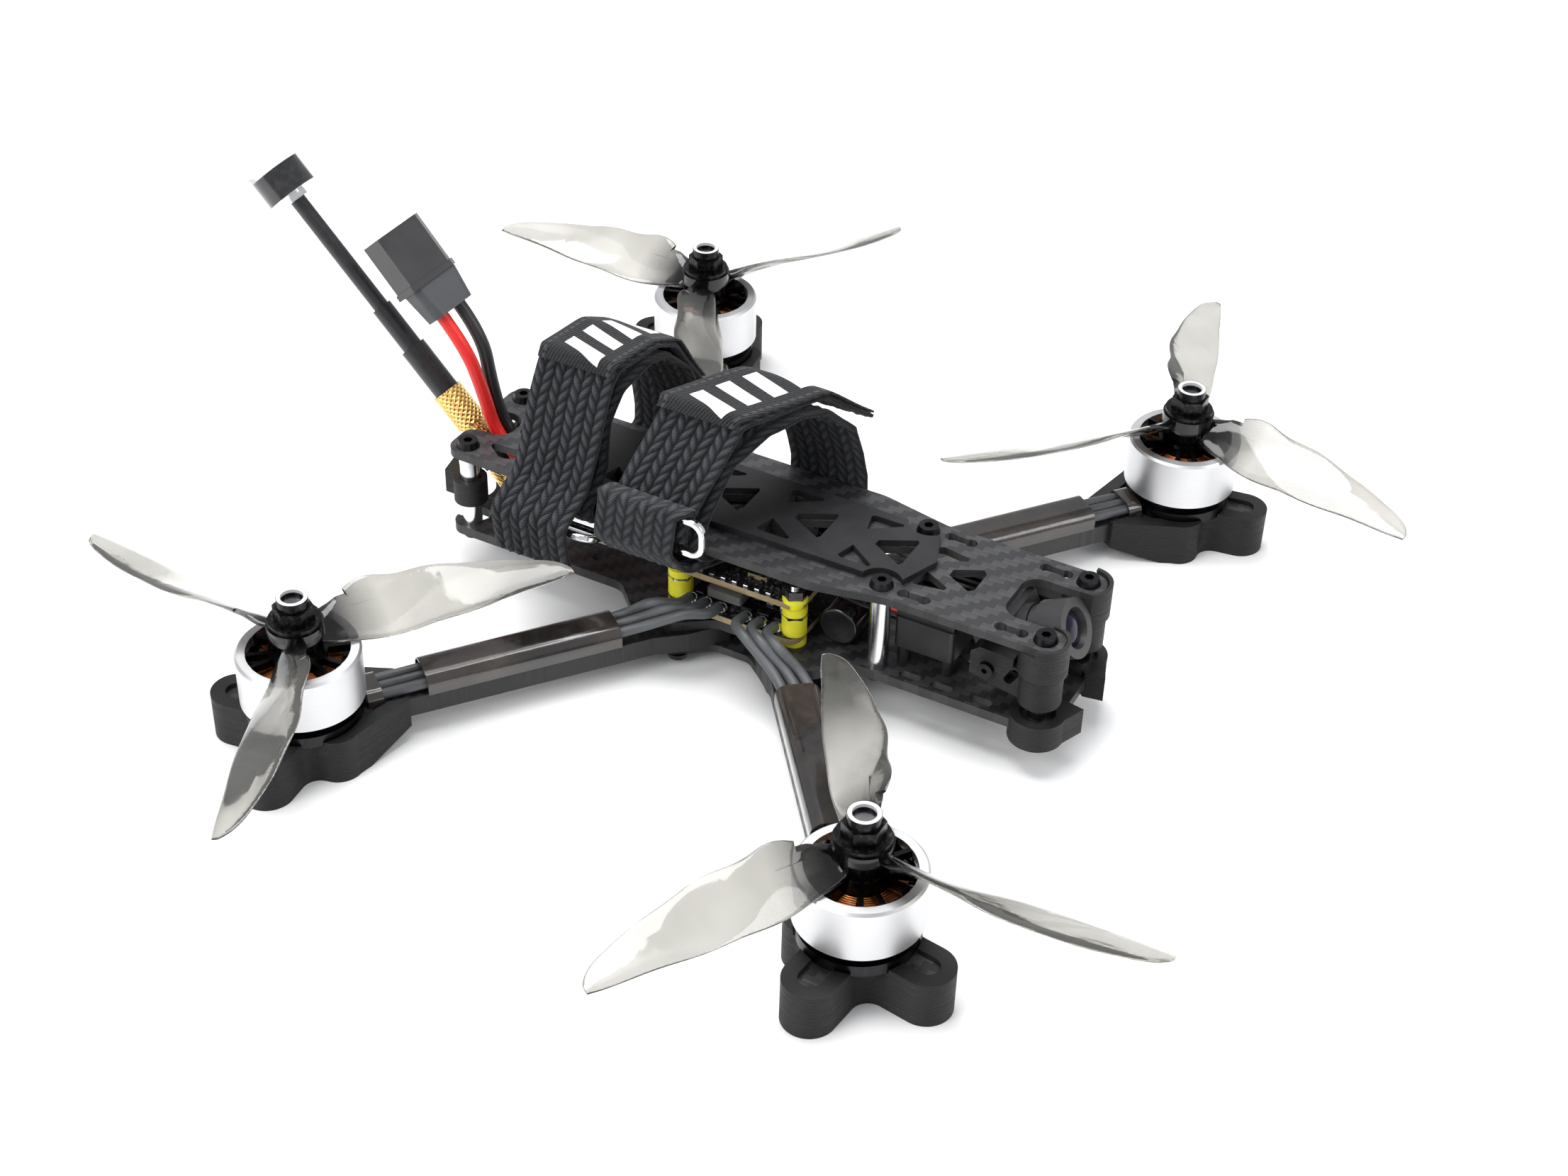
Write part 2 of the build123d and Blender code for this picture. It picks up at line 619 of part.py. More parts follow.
def make_arm_wiring():
    # a sleeve's far end, its length, half width and height
    sleeves = ((-27.3, 47.0, 5.3, 5.0), (-BASE_R - 0.4, 3.6, 4.9, 3.8))
    with BuildPart() as arm_sleeves:
        for corner in CORNERS:
            base = arm_plane(corner, ARM_TOP + 0.05)
            for out, length, half, high in sleeves:
                start = base.from_local_coords((out, 0, 0))
                with BuildSketch(Plane(origin=start, x_dir=-base.y_dir, z_dir=-base.x_dir)):
                    add(sleeve_tunnel(half, high))
                extrude(amount=length)
    write(arm_sleeves.part, "arm_sleeves")

    bed = ARM_TOP + 0.5 + WIRE_R
    board = ESC_UNDER + BOARD_THICK + WIRE_R + 0.05
    with BuildPart() as motor_leads:
        for corner, (s, e) in CORNERS.items():
            base = arm_plane(corner, 0)
            for lane in (-1, 0, 1):
                along_arm = [
                    (-BASE_R - 0.2, lane * 2.8, bed), (-30, lane * 2.95, bed + 0.3),
                    (-55, lane * 3.0, bed + 0.6), (-78, lane * 3.1, bed + 1.0),
                ]
                points = [tuple(base.from_local_coords(p)) for p in along_arm]
                pad_y = STACK_Y + e * (7.4 + s * e * lane * 4.0)
                points.append((s * 26.5, pad_y + e * (4.6 + s * e * lane * 0.6), board + 2.4))
                points.append((s * 22.8, pad_y, board + 1.2))
                points.append((s * 17.8, pad_y, board))
                add(lead_tube(points, WIRE_R, f"motor lead {corner}"))
    write(motor_leads.part, "motor_leads")


def make_stack():
    centre = (0, STACK_Y)
    with BuildPart() as esc_board:
        with BuildSketch(Plane.XY.offset(ESC_UNDER)):
            with Locations(centre):
                RectangleRounded(2 * BOARD_HALF + 3, 2 * BOARD_HALF, 3)
                with GridLocations(2 * STACK_HALF, 2 * STACK_HALF, 2, 2):
                    Circle(2.3, mode=Mode.SUBTRACT)
        extrude(amount=BOARD_THICK)
        with BuildSketch(Plane.XY.offset(ESC_UNDER + BOARD_THICK)):
            with Locations((0, STACK_Y)):
                with GridLocations(9, 6.4, 2, 4):
                    Rectangle(5, 4.4)
                Rectangle(2.6, 24)
        extrude(amount=1.3)
    write(esc_board.part, "esc_board")

    with BuildPart() as flight_controller:
        with BuildSketch(Plane.XY.offset(FC_UNDER)):
            with Locations(centre):
                RectangleRounded(2 * BOARD_HALF, 2 * BOARD_HALF, 3)
                with GridLocations(2 * STACK_HALF, 2 * STACK_HALF, 2, 2):
                    Circle(2.3, mode=Mode.SUBTRACT)
        extrude(amount=BOARD_THICK)
        with BuildSketch(Plane.XY.offset(FC_UNDER + BOARD_THICK)):
            with Locations((0, STACK_Y + 1)):
                Rectangle(8, 8)
            with Locations((-11, STACK_Y - 4), (11, STACK_Y + 5)):
                Rectangle(4, 5)
            with Locations((6, STACK_Y + 12)):
                Rectangle(9, 4.6)
        extrude(amount=1.2)
    write(flight_controller.part, "flight_controller")

    corners = [(sx * STACK_HALF, STACK_Y + sy * STACK_HALF) for sx in (1, -1) for sy in (1, -1)]
    with BuildPart() as grommets:
        for (low, high), board in ((SOFT_LOW, ESC_UNDER), (SOFT_HIGH, FC_UNDER)):
            for bottom, top, radius in (
                (low, board - 0.02, SOFT_R), (board - 0.02, board + BOARD_THICK + 0.02, 2.25),
                (board + BOARD_THICK + 0.02, high, SOFT_R),
            ):
                with BuildSketch(Plane.XY.offset(bottom)):
                    with Locations(*corners):
                        Circle(radius)
                        Circle(M3_HOLE_R, mode=Mode.SUBTRACT)
                extrude(amount=top - bottom)
    write(grommets.part, "grommets")

    bottom = SOLE - BRACE_THICK
    with BuildPart() as stack_screws:
        for x, y in corners:
            length = SOFT_HIGH[1] + STACK_NUT_HIGH + 0.6 - bottom
            add(Pos(x, y, bottom) * Rot(180, 0, 0) * button_screw(length))
        for level, high in ((SOFT_LOW[1], SOFT_HIGH[0] - SOFT_LOW[1]), (SOFT_HIGH[1], STACK_NUT_HIGH)):
            with BuildSketch(Plane.XY.offset(level)):
                with Locations(*corners):
                    RegularPolygon(2.75, 6, major_radius=False)
                    Circle(M3_HOLE_R, mode=Mode.SUBTRACT)
            extrude(amount=high)
    write(stack_screws.part, "stack_screws")

    with BuildPart() as capacitor:
        with BuildSketch(Plane(origin=(-3.5, -24.0, MAIN_TOP + CAP_R + 0.3), z_dir=(1, 0, 0))):
            Circle(CAP_R)
        extrude(amount=8, both=True)
        fillet(capacitor.edges().filter_by(GeomType.CIRCLE), 0.6)
    write(capacitor.part, "capacitor")

    middle, length = sum(VTX_Y) / 2, VTX_Y[1] - VTX_Y[0]
    with BuildPart() as video_transmitter:
        with BuildSketch(Plane.XY.offset(MAIN_TOP + 4.6)):
            with Locations((0, middle)):
                RectangleRounded(2 * VTX_HALF, length, 1.2)
        extrude(amount=8.5)
        with BuildSketch(Plane.XY.offset(MAIN_TOP + 13.1)):
            with Locations((0, middle)):
                with GridLocations(2.3, 1, 9, 1):
                    Rectangle(1.0, length - 0.6)
        extrude(amount=2.8)
        with BuildSketch(Plane.XY.offset(MAIN_TOP)):
            with Locations((0, middle)):
                with GridLocations(16, length - 4, 2, 2):
                    Circle(1.6)
        extrude(amount=4.6)
    write(video_transmitter.part, "video_transmitter")


def camera_plane(forward):
    """A plane across the camera's line of sight, its Z pointing forwards."""
    tilt = radians(CAM_TILT)
    origin = Vector(*CAM_PIVOT) + Vector(0, -cos(tilt), sin(tilt)) * forward
    return Plane(origin=origin, x_dir=(1, 0, 0), z_dir=(0, -cos(tilt), sin(tilt)))


def make_camera():
    with BuildPart() as camera_body:
        with BuildSketch(camera_plane(-CAM_BACK)):
            RectangleRounded(2 * CAM_HALF, CAM_TALL, 1.6)
        extrude(amount=CAM_BACK + CAM_FRONT)
        rims = camera_body.faces().sort_by(Axis.Y)
        chamfer(rims[0].edges() + rims[-1].edges(), 1.1)
        with BuildSketch(camera_plane(CAM_FRONT)):
            Circle(6.6)
        extrude(amount=2.6)
        with BuildSketch(Plane(origin=CAM_PIVOT, z_dir=(1, 0, 0))):
            Circle(M2_R + 0.02)
        extrude(amount=CAM_HALF + 1, both=True, mode=Mode.SUBTRACT)
        with BuildSketch(camera_plane(3.0)):
            Circle(5.0)
        extrude(amount=10, mode=Mode.SUBTRACT)
    write(camera_body.part, "camera_body")

    with BuildPart() as camera_lens:
        for start, stop, radius in (
            (3.1, 7.2, 4.9), (7.2, 9.3, CAM_BARREL_R - 0.9), (9.3, CAM_REACH, CAM_BARREL_R),
        ):
            with BuildSketch(camera_plane(start)):
                Circle(radius)
            extrude(amount=stop - start)
        with BuildSketch(camera_plane(CAM_REACH)):
            Circle(4.8)
        extrude(amount=-2.2, taper=18, mode=Mode.SUBTRACT)
    write(camera_lens.part, "camera_lens")

    with BuildPart() as camera_screws:
        for s in (1, -1):
            face = Plane(origin=(s * (CAM_MOUNT_OUTER + 0.3), *CAM_PIVOT[1:]), z_dir=(s, 0, 0))
            with BuildSketch(face):
                Circle(1.9)
            extrude(amount=1.1)
            with BuildSketch(face.offset(1.1)):
                RegularPolygon(0.75, 6)
            extrude(amount=-0.8, mode=Mode.SUBTRACT)
            with BuildSketch(face):
                Circle(M2_R)
            extrude(amount=-(CAM_MOUNT_OUTER - CAM_HALF + 3.5))
    write(camera_screws.part, "camera_screws")

    pivot_y, pivot_z = CAM_PIVOT[1:]
    across = Plane(origin=(0, 0, 0), x_dir=(0, 1, 0), z_dir=(1, 0, 0))
    with BuildPart() as camera_mounts:
        for s in (1, -1):
            with BuildSketch(across.offset(s * CAM_MOUNT_INNER)):
                Polygon((-58.8, 27.2), (-58.8, 21.0), (-70.0, 18.6), (-76.2, 18.2), (-76.2, 26.4),
                        (-69.2, 26.4), (-69.2, 28.5), (-61.0, 28.9), align=None)
            extrude(amount=s * (CAM_MOUNT_OUTER - CAM_MOUNT_INNER))
            with BuildSketch(Plane(origin=(s * POST_X, POST_YS[0], 18.2))):
                Circle(5.0)
            extrude(amount=8.2)
            with BuildSketch(Plane(origin=(s * POST_X, POST_YS[0], 10))):
                Circle(POST_R + GAP)
            extrude(amount=25, mode=Mode.SUBTRACT)
        with BuildSketch(across):
            with Locations((pivot_y, pivot_z)):
                Circle(M2_R + RUNNING)
            with Locations((pivot_y - 6.0, pivot_z - 0.2)):
                SlotCenterToCenter(2.6, 2.2, rotation=120)
        extrude(amount=30, both=True, mode=Mode.SUBTRACT)
        with BuildSketch(Plane.XY):
            Rectangle(2 * CAM_LANE, 200)
        extrude(amount=60, mode=Mode.SUBTRACT)
    write(camera_mounts.part, "camera_mounts")


def make_bumpers():
    low, high = MAIN_TOP - 5.1, MAIN_TOP + 1.7
    with BuildPart() as nose_bumpers:
        for s in (1, -1):
            with BuildSketch(Plane(origin=(s * POST_X, POST_YS[0], 26.7))):
                Circle(5.7)
            extrude(amount=TOP_TOP + 0.6 - 26.7)
            with BuildSketch(Plane(origin=(s * POST_X, POST_YS[0], TOP_UNDER - 0.05))):
                Circle(4.75)
                with Locations((0, 6)):
                    Rectangle(14, 12)
            extrude(amount=6, mode=Mode.SUBTRACT)
        with BuildSketch(Plane.XY.offset(20)):
            Rectangle(2 * CAM_LANE, 200)
        extrude(amount=30, mode=Mode.SUBTRACT)
        for s in (1, -1):
            with BuildSketch(Plane(origin=(s * POST_X, POST_YS[0], low))):
                Circle(6.5)
                Polygon((0, -6.5), (-s * 5.8, -8.8), (-s * 6.6, -4), (-s * 3, 0), align=None)
            extrude(amount=high - low)
            with BuildSketch(Plane(origin=(s * POST_X, POST_YS[0], low - 1))):
                Circle(POST_R + 1.7)
            extrude(amount=12, mode=Mode.SUBTRACT)
            with BuildSketch(Plane(origin=(s * POST_X, POST_YS[0], 20))):
                Circle(POST_R + GAP)
            extrude(amount=20, mode=Mode.SUBTRACT)
        with BuildSketch(Plane.XY.offset(ARM_TOP - GAP / 2)):
            with Locations((0, NOSE_Y + 30 - GAP)):
                Rectangle(2 * (MAIN_HALF + GAP), 60)
        extrude(amount=MAIN_THICK + GAP, mode=Mode.SUBTRACT)
    write(nose_bumpers.part, "nose_bumpers")


def make_aerial():
    rise = radians(AERIAL_RISE)
    along = Vector(0, cos(rise), sin(rise))
    root = Vector(*AERIAL_ROOT)

    def across(distance):
        return Plane(origin=root + along * distance, x_dir=(1, 0, 0), z_dir=along)

    with BuildPart() as antenna_holder:
        for s in (1, -1):
            with BuildSketch(Plane(origin=(s * POST_X, POST_YS[2], TOP_UNDER - 13.5))):
                Circle(4.2)
                Circle(POST_R + GAP, mode=Mode.SUBTRACT)
            extrude(amount=6.5)
            with BuildSketch(Plane.XY.offset(TOP_UNDER - 13.5)):
                Polygon((s * 13, 80.6), (s * 13, 84.4), (0, 87), (0, 82.5), align=None)
            extrude(amount=6.5)
        with BuildSketch(across(-11.5)):
            Circle(4.6)
        extrude(amount=7.5)
        with BuildSketch(across(-20)):
            Circle(3.3)
        extrude(amount=30, mode=Mode.SUBTRACT)
        for s in (1, -1):
            with BuildSketch(Plane(origin=(s * POST_X, POST_YS[2], TOP_UNDER - 20))):
                Circle(POST_R + GAP)
            extrude(amount=20, mode=Mode.SUBTRACT)
    write(antenna_holder.part, "antenna_holder")

    with BuildPart() as sma_socket:
        with BuildSketch(across(-19.5)):
            Circle(4.3)
        extrude(amount=7.5)
        with BuildSketch(across(-12)):
            Circle(3.2)
        extrude(amount=14)
    write(sma_socket.part, "sma_socket")

    with BuildPart() as antenna:
        with BuildSketch(across(0.2)):
            Circle(3.9)
            Circle(3.25, mode=Mode.SUBTRACT)
        extrude(amount=2.2)
        for start, stop, radius in ((2.4, 10.4, 3.9), (10.4, 23.9, 3.3), (23.9, 36.2, 2.6),
                                    (36.2, STALK_END, STALK_R)):
            with BuildSketch(across(start)):
                Circle(radius)
            extrude(amount=stop - start)
    write(antenna.part, "antenna")

    with BuildPart() as antenna_head:
        with BuildSketch(across(STALK_END - 1.8)):
            Circle(3.1)
            Circle(STALK_R, mode=Mode.SUBTRACT)
        extrude(amount=1.8)
        with BuildSketch(across(STALK_END)):
            Circle(6.6)
        extrude(amount=HEAD_HIGH)
        with BuildSketch(across(STALK_END + HEAD_HIGH)):
            Circle(7.0)
        extrude(amount=HEAD_CAP)
    write(antenna_head.part, "antenna_head")


def make_power_lead():
    axis = Vector(*PLUG_AXIS).normalized()
    wide = Vector(*PLUG_WIDE_DIR)
    wide = (wide - axis * wide.dot(axis)).normalized()
    centre = Vector(*PLUG_CENTRE)

    def across(distance):
        return Plane(origin=centre + axis * distance, x_dir=wide, z_dir=axis)

    def shell(length, high, corner):
        half = length / 2
        Polygon((-half, -high / 2), (half - corner, -high / 2), (half, -high / 2 + corner),
                (half, high / 2 - corner), (half - corner, high / 2), (-half, high / 2), align=None)

    with BuildPart() as power_plug:
        with BuildSketch(across(0)):
            shell(15.8, 8.0, 2.2)
        extrude(amount=1.6)
        with BuildSketch(across(0)):
            shell(15.0, 7.6, 2.2)
        extrude(amount=15.0)
        with BuildSketch(across(5.0)):
            shell(12.8, 5.6, 1.8)
        extrude(amount=12, mode=Mode.SUBTRACT)
    write(power_plug.part, "power_plug")

    with BuildPart() as plug_pins:
        for s in (1, -1):
            with BuildSketch(across(5.0)):
                with Locations((s * 3.2, 0)):
                    Circle(1.6)
            extrude(amount=8.6)
    write(plug_pins.part, "plug_pins")

    with BuildPart() as plug_cap:
        with BuildSketch(across(-8.4)):
            RectangleRounded(12.6, 6.8, 2.4)
        with BuildSketch(across(-0.05)):
            RectangleRounded(14.2, 7.4, 2.0)
        loft()
    write(plug_cap.part, "plug_cap")

    cap_end = centre - axis * 8.4
    for name, s in (("lead_red", -1), ("lead_black", 1)):
        tip = cap_end + wide * (s * 2.95)
        before = tip - axis * 9.5
        points = [
            (s * 3.4, 19.6, MAIN_TOP + 5.4),
            (s * 3.4, 31.0, MAIN_TOP + 5.6),
            (s * 3.2, 46.0, MAIN_TOP + 6.4),
            (s * 2.4, 58.0, MAIN_TOP + 9.0),
            (s * 1.95, 68.5, MAIN_TOP + 14.0),
            (s * 1.9, 76.6, TOP_TOP - 1.6),
            (s * 1.9 - 0.6, 79.2, TOP_TOP + 10.0),
            (before.X, before.Y, before.Z),
            (tip.X, tip.Y, tip.Z),
        ]
        tube = lead_tube(points, LEAD_R, name)
        print(name, "points", [tuple(round(v, 1) for v in p) for p in points])
        write(tube, name)


def strap_band(middle, slant, span):
    """A strip that crosses the craft at a slant, drawn in the current sketch."""
    reach = 40
    half = span / 2
    Polygon(
        (-reach, middle + reach * slant - half), (reach, middle - reach * slant - half),
        (reach, middle - reach * slant + half), (-reach, middle + reach * slant + half), align=None,
    )


def strap_profile(which):
    """A strap's loop of doubled webbing, seen along the craft."""
    low = [(-STRAP_HALF, STRAP_LOW)]
    far = [(20.9, 51.5), (STRAP_HALF, 42), (STRAP_HALF, STRAP_LOW)]
    room_low = [(-STRAP_ROOM, STRAP_LOW + STRAP_THICK), (-STRAP_ROOM, 38)]
    room_far = [(STRAP_ROOM, 38), (STRAP_ROOM, STRAP_LOW + STRAP_THICK)]
    if which == "front":
        outer = [(-25.2, 41.5), (-10.8, 66.2), (9.5, 65.8)]
        room = [(-12.4, 53.5), (-6.0, 58.8), (1.5, 60.6), (9.0, 59.2), (16.2, 52.0), (19.2, 44.0)]
        tail = [(-19.3, 31.4), (-19.3, 28.8), (-23.4, 28.8), (-27.6, 35.2), (-27.0, 42.6),
                (-24.2, 42.6), (-23.9, 36.2), (-22.0, 31.4)]
    else:
        outer = [(-23.4, 36.5), (-19.0, 54.0), (-12.0, 70.2), (2.5, STRAP_TOP), (11.0, 67.0)]
        room = [(-14.6, 45.0), (-12.8, 56.0), (-8.6, 62.2), (0.0, 64.8), (7.0, 63.6), (14.4, 56.8),
                (19.2, 46.5)]
        tail = [(-23.2, 37.4), (-25.9, 22.4), (-24.4, 22.4), (-21.9, 35.6)]
    with BuildSketch(Plane.XZ) as loop:
        Polygon(*low, *outer, *far, align=None)
        fillet([v for v in loop.vertices() if v.Z > 45], 5.0)
        Polygon(*tail, align=None)
        with BuildSketch(Plane.XZ, mode=Mode.SUBTRACT) as inside:
            Polygon(*room_low, *room, *room_far, align=None)
            fillet([v for v in inside.vertices() if v.Z > 40], 2.5)
    return loop.sketch


def buckle_ring(which, clearance=0.0):
    """A wire ring: upright on the front strap, nearly flat under the plate's edge on the rear."""
    if which == "front":
        plane = Plane(origin=(-25.0, 17.2, 40.4), x_dir=(0, 1, 0), z_dir=(1, 0, 0))
    else:
        plane = Plane(origin=(-24.2, 45.8, 30.6), x_dir=(0, 1, 0), z_dir=(0.42, 0, 0.91))
    with BuildPart() as ring:
        with BuildSketch(plane):
            RectangleRounded(BUCKLE_LONG + 2 * clearance, BUCKLE_HIGH + 2 * clearance, 4.0)
            RectangleRounded(BUCKLE_LONG - 2 * BUCKLE_WIRE - 2 * clearance,
                             BUCKLE_HIGH - 2 * BUCKLE_WIRE - 2 * clearance, 2.2, mode=Mode.SUBTRACT)
        extrude(amount=BUCKLE_WIRE / 2 + clearance, both=True)
        if not clearance:
            rims = [e for e in ring.edges() if abs((e.center() - plane.origin).dot(plane.z_dir)) > 0.5]
            fillet(rims, 0.55)
    return ring.part


def make_straps():
    for which, (middle, slant) in STRAPS.items():
        span = STRAP_WIDE * sqrt(1 + slant**2)
        with BuildPart() as strap:
            add(extrude(strap_profile(which), amount=100, both=True))
            with BuildSketch(Plane.XY.offset(TAIL_LOW)):
                strap_band(middle, slant, span)
            extrude(amount=STRAP_TOP, mode=Mode.INTERSECT)
            add(buckle_ring(which, 0.35), mode=Mode.SUBTRACT)
        write(strap.part, f"strap_{which}")

    with BuildPart() as strap_buckles:
        for which in STRAPS:
            add(buckle_ring(which))
    write(strap_buckles.part, "strap_buckles")


make_plates()
make_frame_hardware()
for motor in CORNERS:
    make_arm(motor)
    make_foot(motor)
    make_bell(motor)
    make_prop(motor)
    make_prop_nut(motor)
make_motor_statics()
make_arm_wiring()
make_stack()
make_camera()
make_bumpers()
make_aerial()
make_power_lead()
make_straps()
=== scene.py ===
"""The racing quadcopter's looks, in metres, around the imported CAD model."""
from math import atan2, cos, pi, radians, sin

import bmesh
import bpy
import numpy as np
from mathutils import Matrix, Vector


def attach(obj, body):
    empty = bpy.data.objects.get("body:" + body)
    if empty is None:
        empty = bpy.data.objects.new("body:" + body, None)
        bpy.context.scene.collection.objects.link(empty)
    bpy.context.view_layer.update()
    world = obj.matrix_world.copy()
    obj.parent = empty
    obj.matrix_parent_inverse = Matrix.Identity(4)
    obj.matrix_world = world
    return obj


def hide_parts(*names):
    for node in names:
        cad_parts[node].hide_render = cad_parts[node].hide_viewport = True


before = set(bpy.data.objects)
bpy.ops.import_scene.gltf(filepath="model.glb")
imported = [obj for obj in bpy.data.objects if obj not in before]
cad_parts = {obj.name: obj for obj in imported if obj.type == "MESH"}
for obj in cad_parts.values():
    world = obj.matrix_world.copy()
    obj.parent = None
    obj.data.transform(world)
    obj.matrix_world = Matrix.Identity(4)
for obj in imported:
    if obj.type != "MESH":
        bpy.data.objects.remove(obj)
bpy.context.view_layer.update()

MM = 0.001

# The frame's own places, from the CAD
AFT = 4.0 * MM                      # the motors' middle is this far ahead of the origin
MOTOR_X, MOTOR_Y = 90.5 * MM, 69.75 * MM
EYE = Vector((-0.41506, -0.21728 - AFT, 0.36411))
ANTENNA_RISE = radians(45.5)
ANTENNA_WAY = Vector((0, cos(ANTENNA_RISE), sin(ANTENNA_RISE)))
ANTENNA_ROOT = Vector((0, 84.6 * MM - AFT, 32.0 * MM))

# Millimetres, measured from a motor's axis, the ground or the antenna's root
SHAFT_RADIUS, NYLON_RADIUS, RIM_INSIDE = 2.56, 3.45, 11.55
HUB_DARK, HUB_CLEAR = 8.5, 21.0     # the propellers turn from black to clear between these
NYLON_LOW = 42.0
ROOT_NUT_LONG, COLLAR_END, CAP_START = 10.3, 70.5, 77.55
ESC_TOP, FC_UNDER, FC_TOP = 15.9, 21.9, 25.0

# Millimetres, measured from the motors' middle
PLUG_END, PLUG_AXIS, PLUG_WIDE = (0, 94.7, 69.4), (0.0, 0.67, 0.742), (0.97, -0.15, 0.14)
CAP_DEEP, LEADS_HALF_APART, LEAD_STRAIGHT, LEAD_RADIUS = 8.4, 2.95, 9.5, 1.7
CAMERA_PIVOT, CAMERA_TILT = (0, -63.0, 23.8), radians(26.0)
GLASS_OUT, GLASS_RADIUS, GLASS_HIGH = 14.5, 4.25, 1.5

# Straps: each one's middle along Y where x is 0, and how much it slants as x grows
STRAP_WIDE = 20.6 * MM
STRAPS = {"front": (7.0 * MM - AFT, 0.5), "rear": (43.5 * MM - AFT, 0.15)}
COLUMNS, LINK_LONG, LINK_LEAN, LINK_SHIFT = 8, 2.9, 1.15, 0.37
PATH_STEP = 0.4 * MM
SWAY, SWAY_RATE = 0.125 * MM, 0.31  # how far and how fast a strap's faces waver along its length
DRIFT, DRIFT_RATE = 0.3 * MM, 0.17  # and how far and how fast its line does
PLAIN_RELIEF = 0.55                 # the webbing's painted knit shade on a face with no knit

# Colours used more than once
BLACK, SOOT, NIGHT = (0.010, 0.010, 0.011), (0.012, 0.012, 0.013), (0.018, 0.018, 0.020)


def frame_place(place):
    """A place in millimetres from the motors' middle, as one in the frame."""
    return Vector(place) * MM - Vector((0, AFT, 0))


# ---------------------------------------------------------------- camera and light

def aim_camera():
    """The photograph's view: a long lens from ahead and to the craft's right, rolled a little."""
    azimuth, elevation, roll = radians(-62.783), radians(36.852), radians(1.829)
    back = Vector((sin(azimuth) * cos(elevation), -cos(azimuth) * cos(elevation), sin(elevation)))
    level_right = Vector((0, 0, 1)).cross(back).normalized()
    level_up = back.cross(level_right)
    right = level_right * cos(roll) + level_up * sin(roll)
    up = level_up * cos(roll) - level_right * sin(roll)
    data = bpy.data.cameras.new("camera")
    data.sensor_width = 36.0
    data.lens = 55.90
    data.clip_start = 0.01
    eye = bpy.data.objects.new("camera", data)
    turn = Matrix((right, up, back)).transposed().to_4x4()
    eye.matrix_world = Matrix.Translation(EYE) @ turn
    bpy.context.collection.objects.link(eye)
    bpy.context.scene.camera = eye


def soft_light(name, place, aim, size, power):
    """A round area light that looks at aim."""
    data = bpy.data.lights.new(name, "AREA")
    data.shape = "DISK"
    data.size = size
    data.energy = power
    lamp = bpy.data.objects.new(name, data)
    lamp.location = place
    lamp.rotation_euler = (Vector(aim) - Vector(place)).to_track_quat("-Z", "Y").to_euler()
    bpy.context.collection.objects.link(lamp)


def light_studio():
    """A white room: bright all round, with the strongest light overhead."""
    world = bpy.data.worlds.new("studio")
    world.use_nodes = True
    sky = world.node_tree.nodes["Background"]
    sky.inputs["Color"].default_value = (0.96, 0.975, 1.0, 1)
    sky.inputs["Strength"].default_value = 0.62
    bpy.context.scene.world = world
    soft_light("overhead", (0.1, 0.25, 1.1), (0, 0, 0), 0.9, 16)
    soft_light("side", (-0.9, 0.35, 0.7), (0, 0, 0.02), 0.6, 6)
    soft_light("front", (0.15, -1.0, 0.6), (0, 0, 0.02), 0.6, 4)
    view = bpy.context.scene.view_settings
    view.view_transform = "Standard"
    view.exposure = 0.0


# ---------------------------------------------------------------- materials

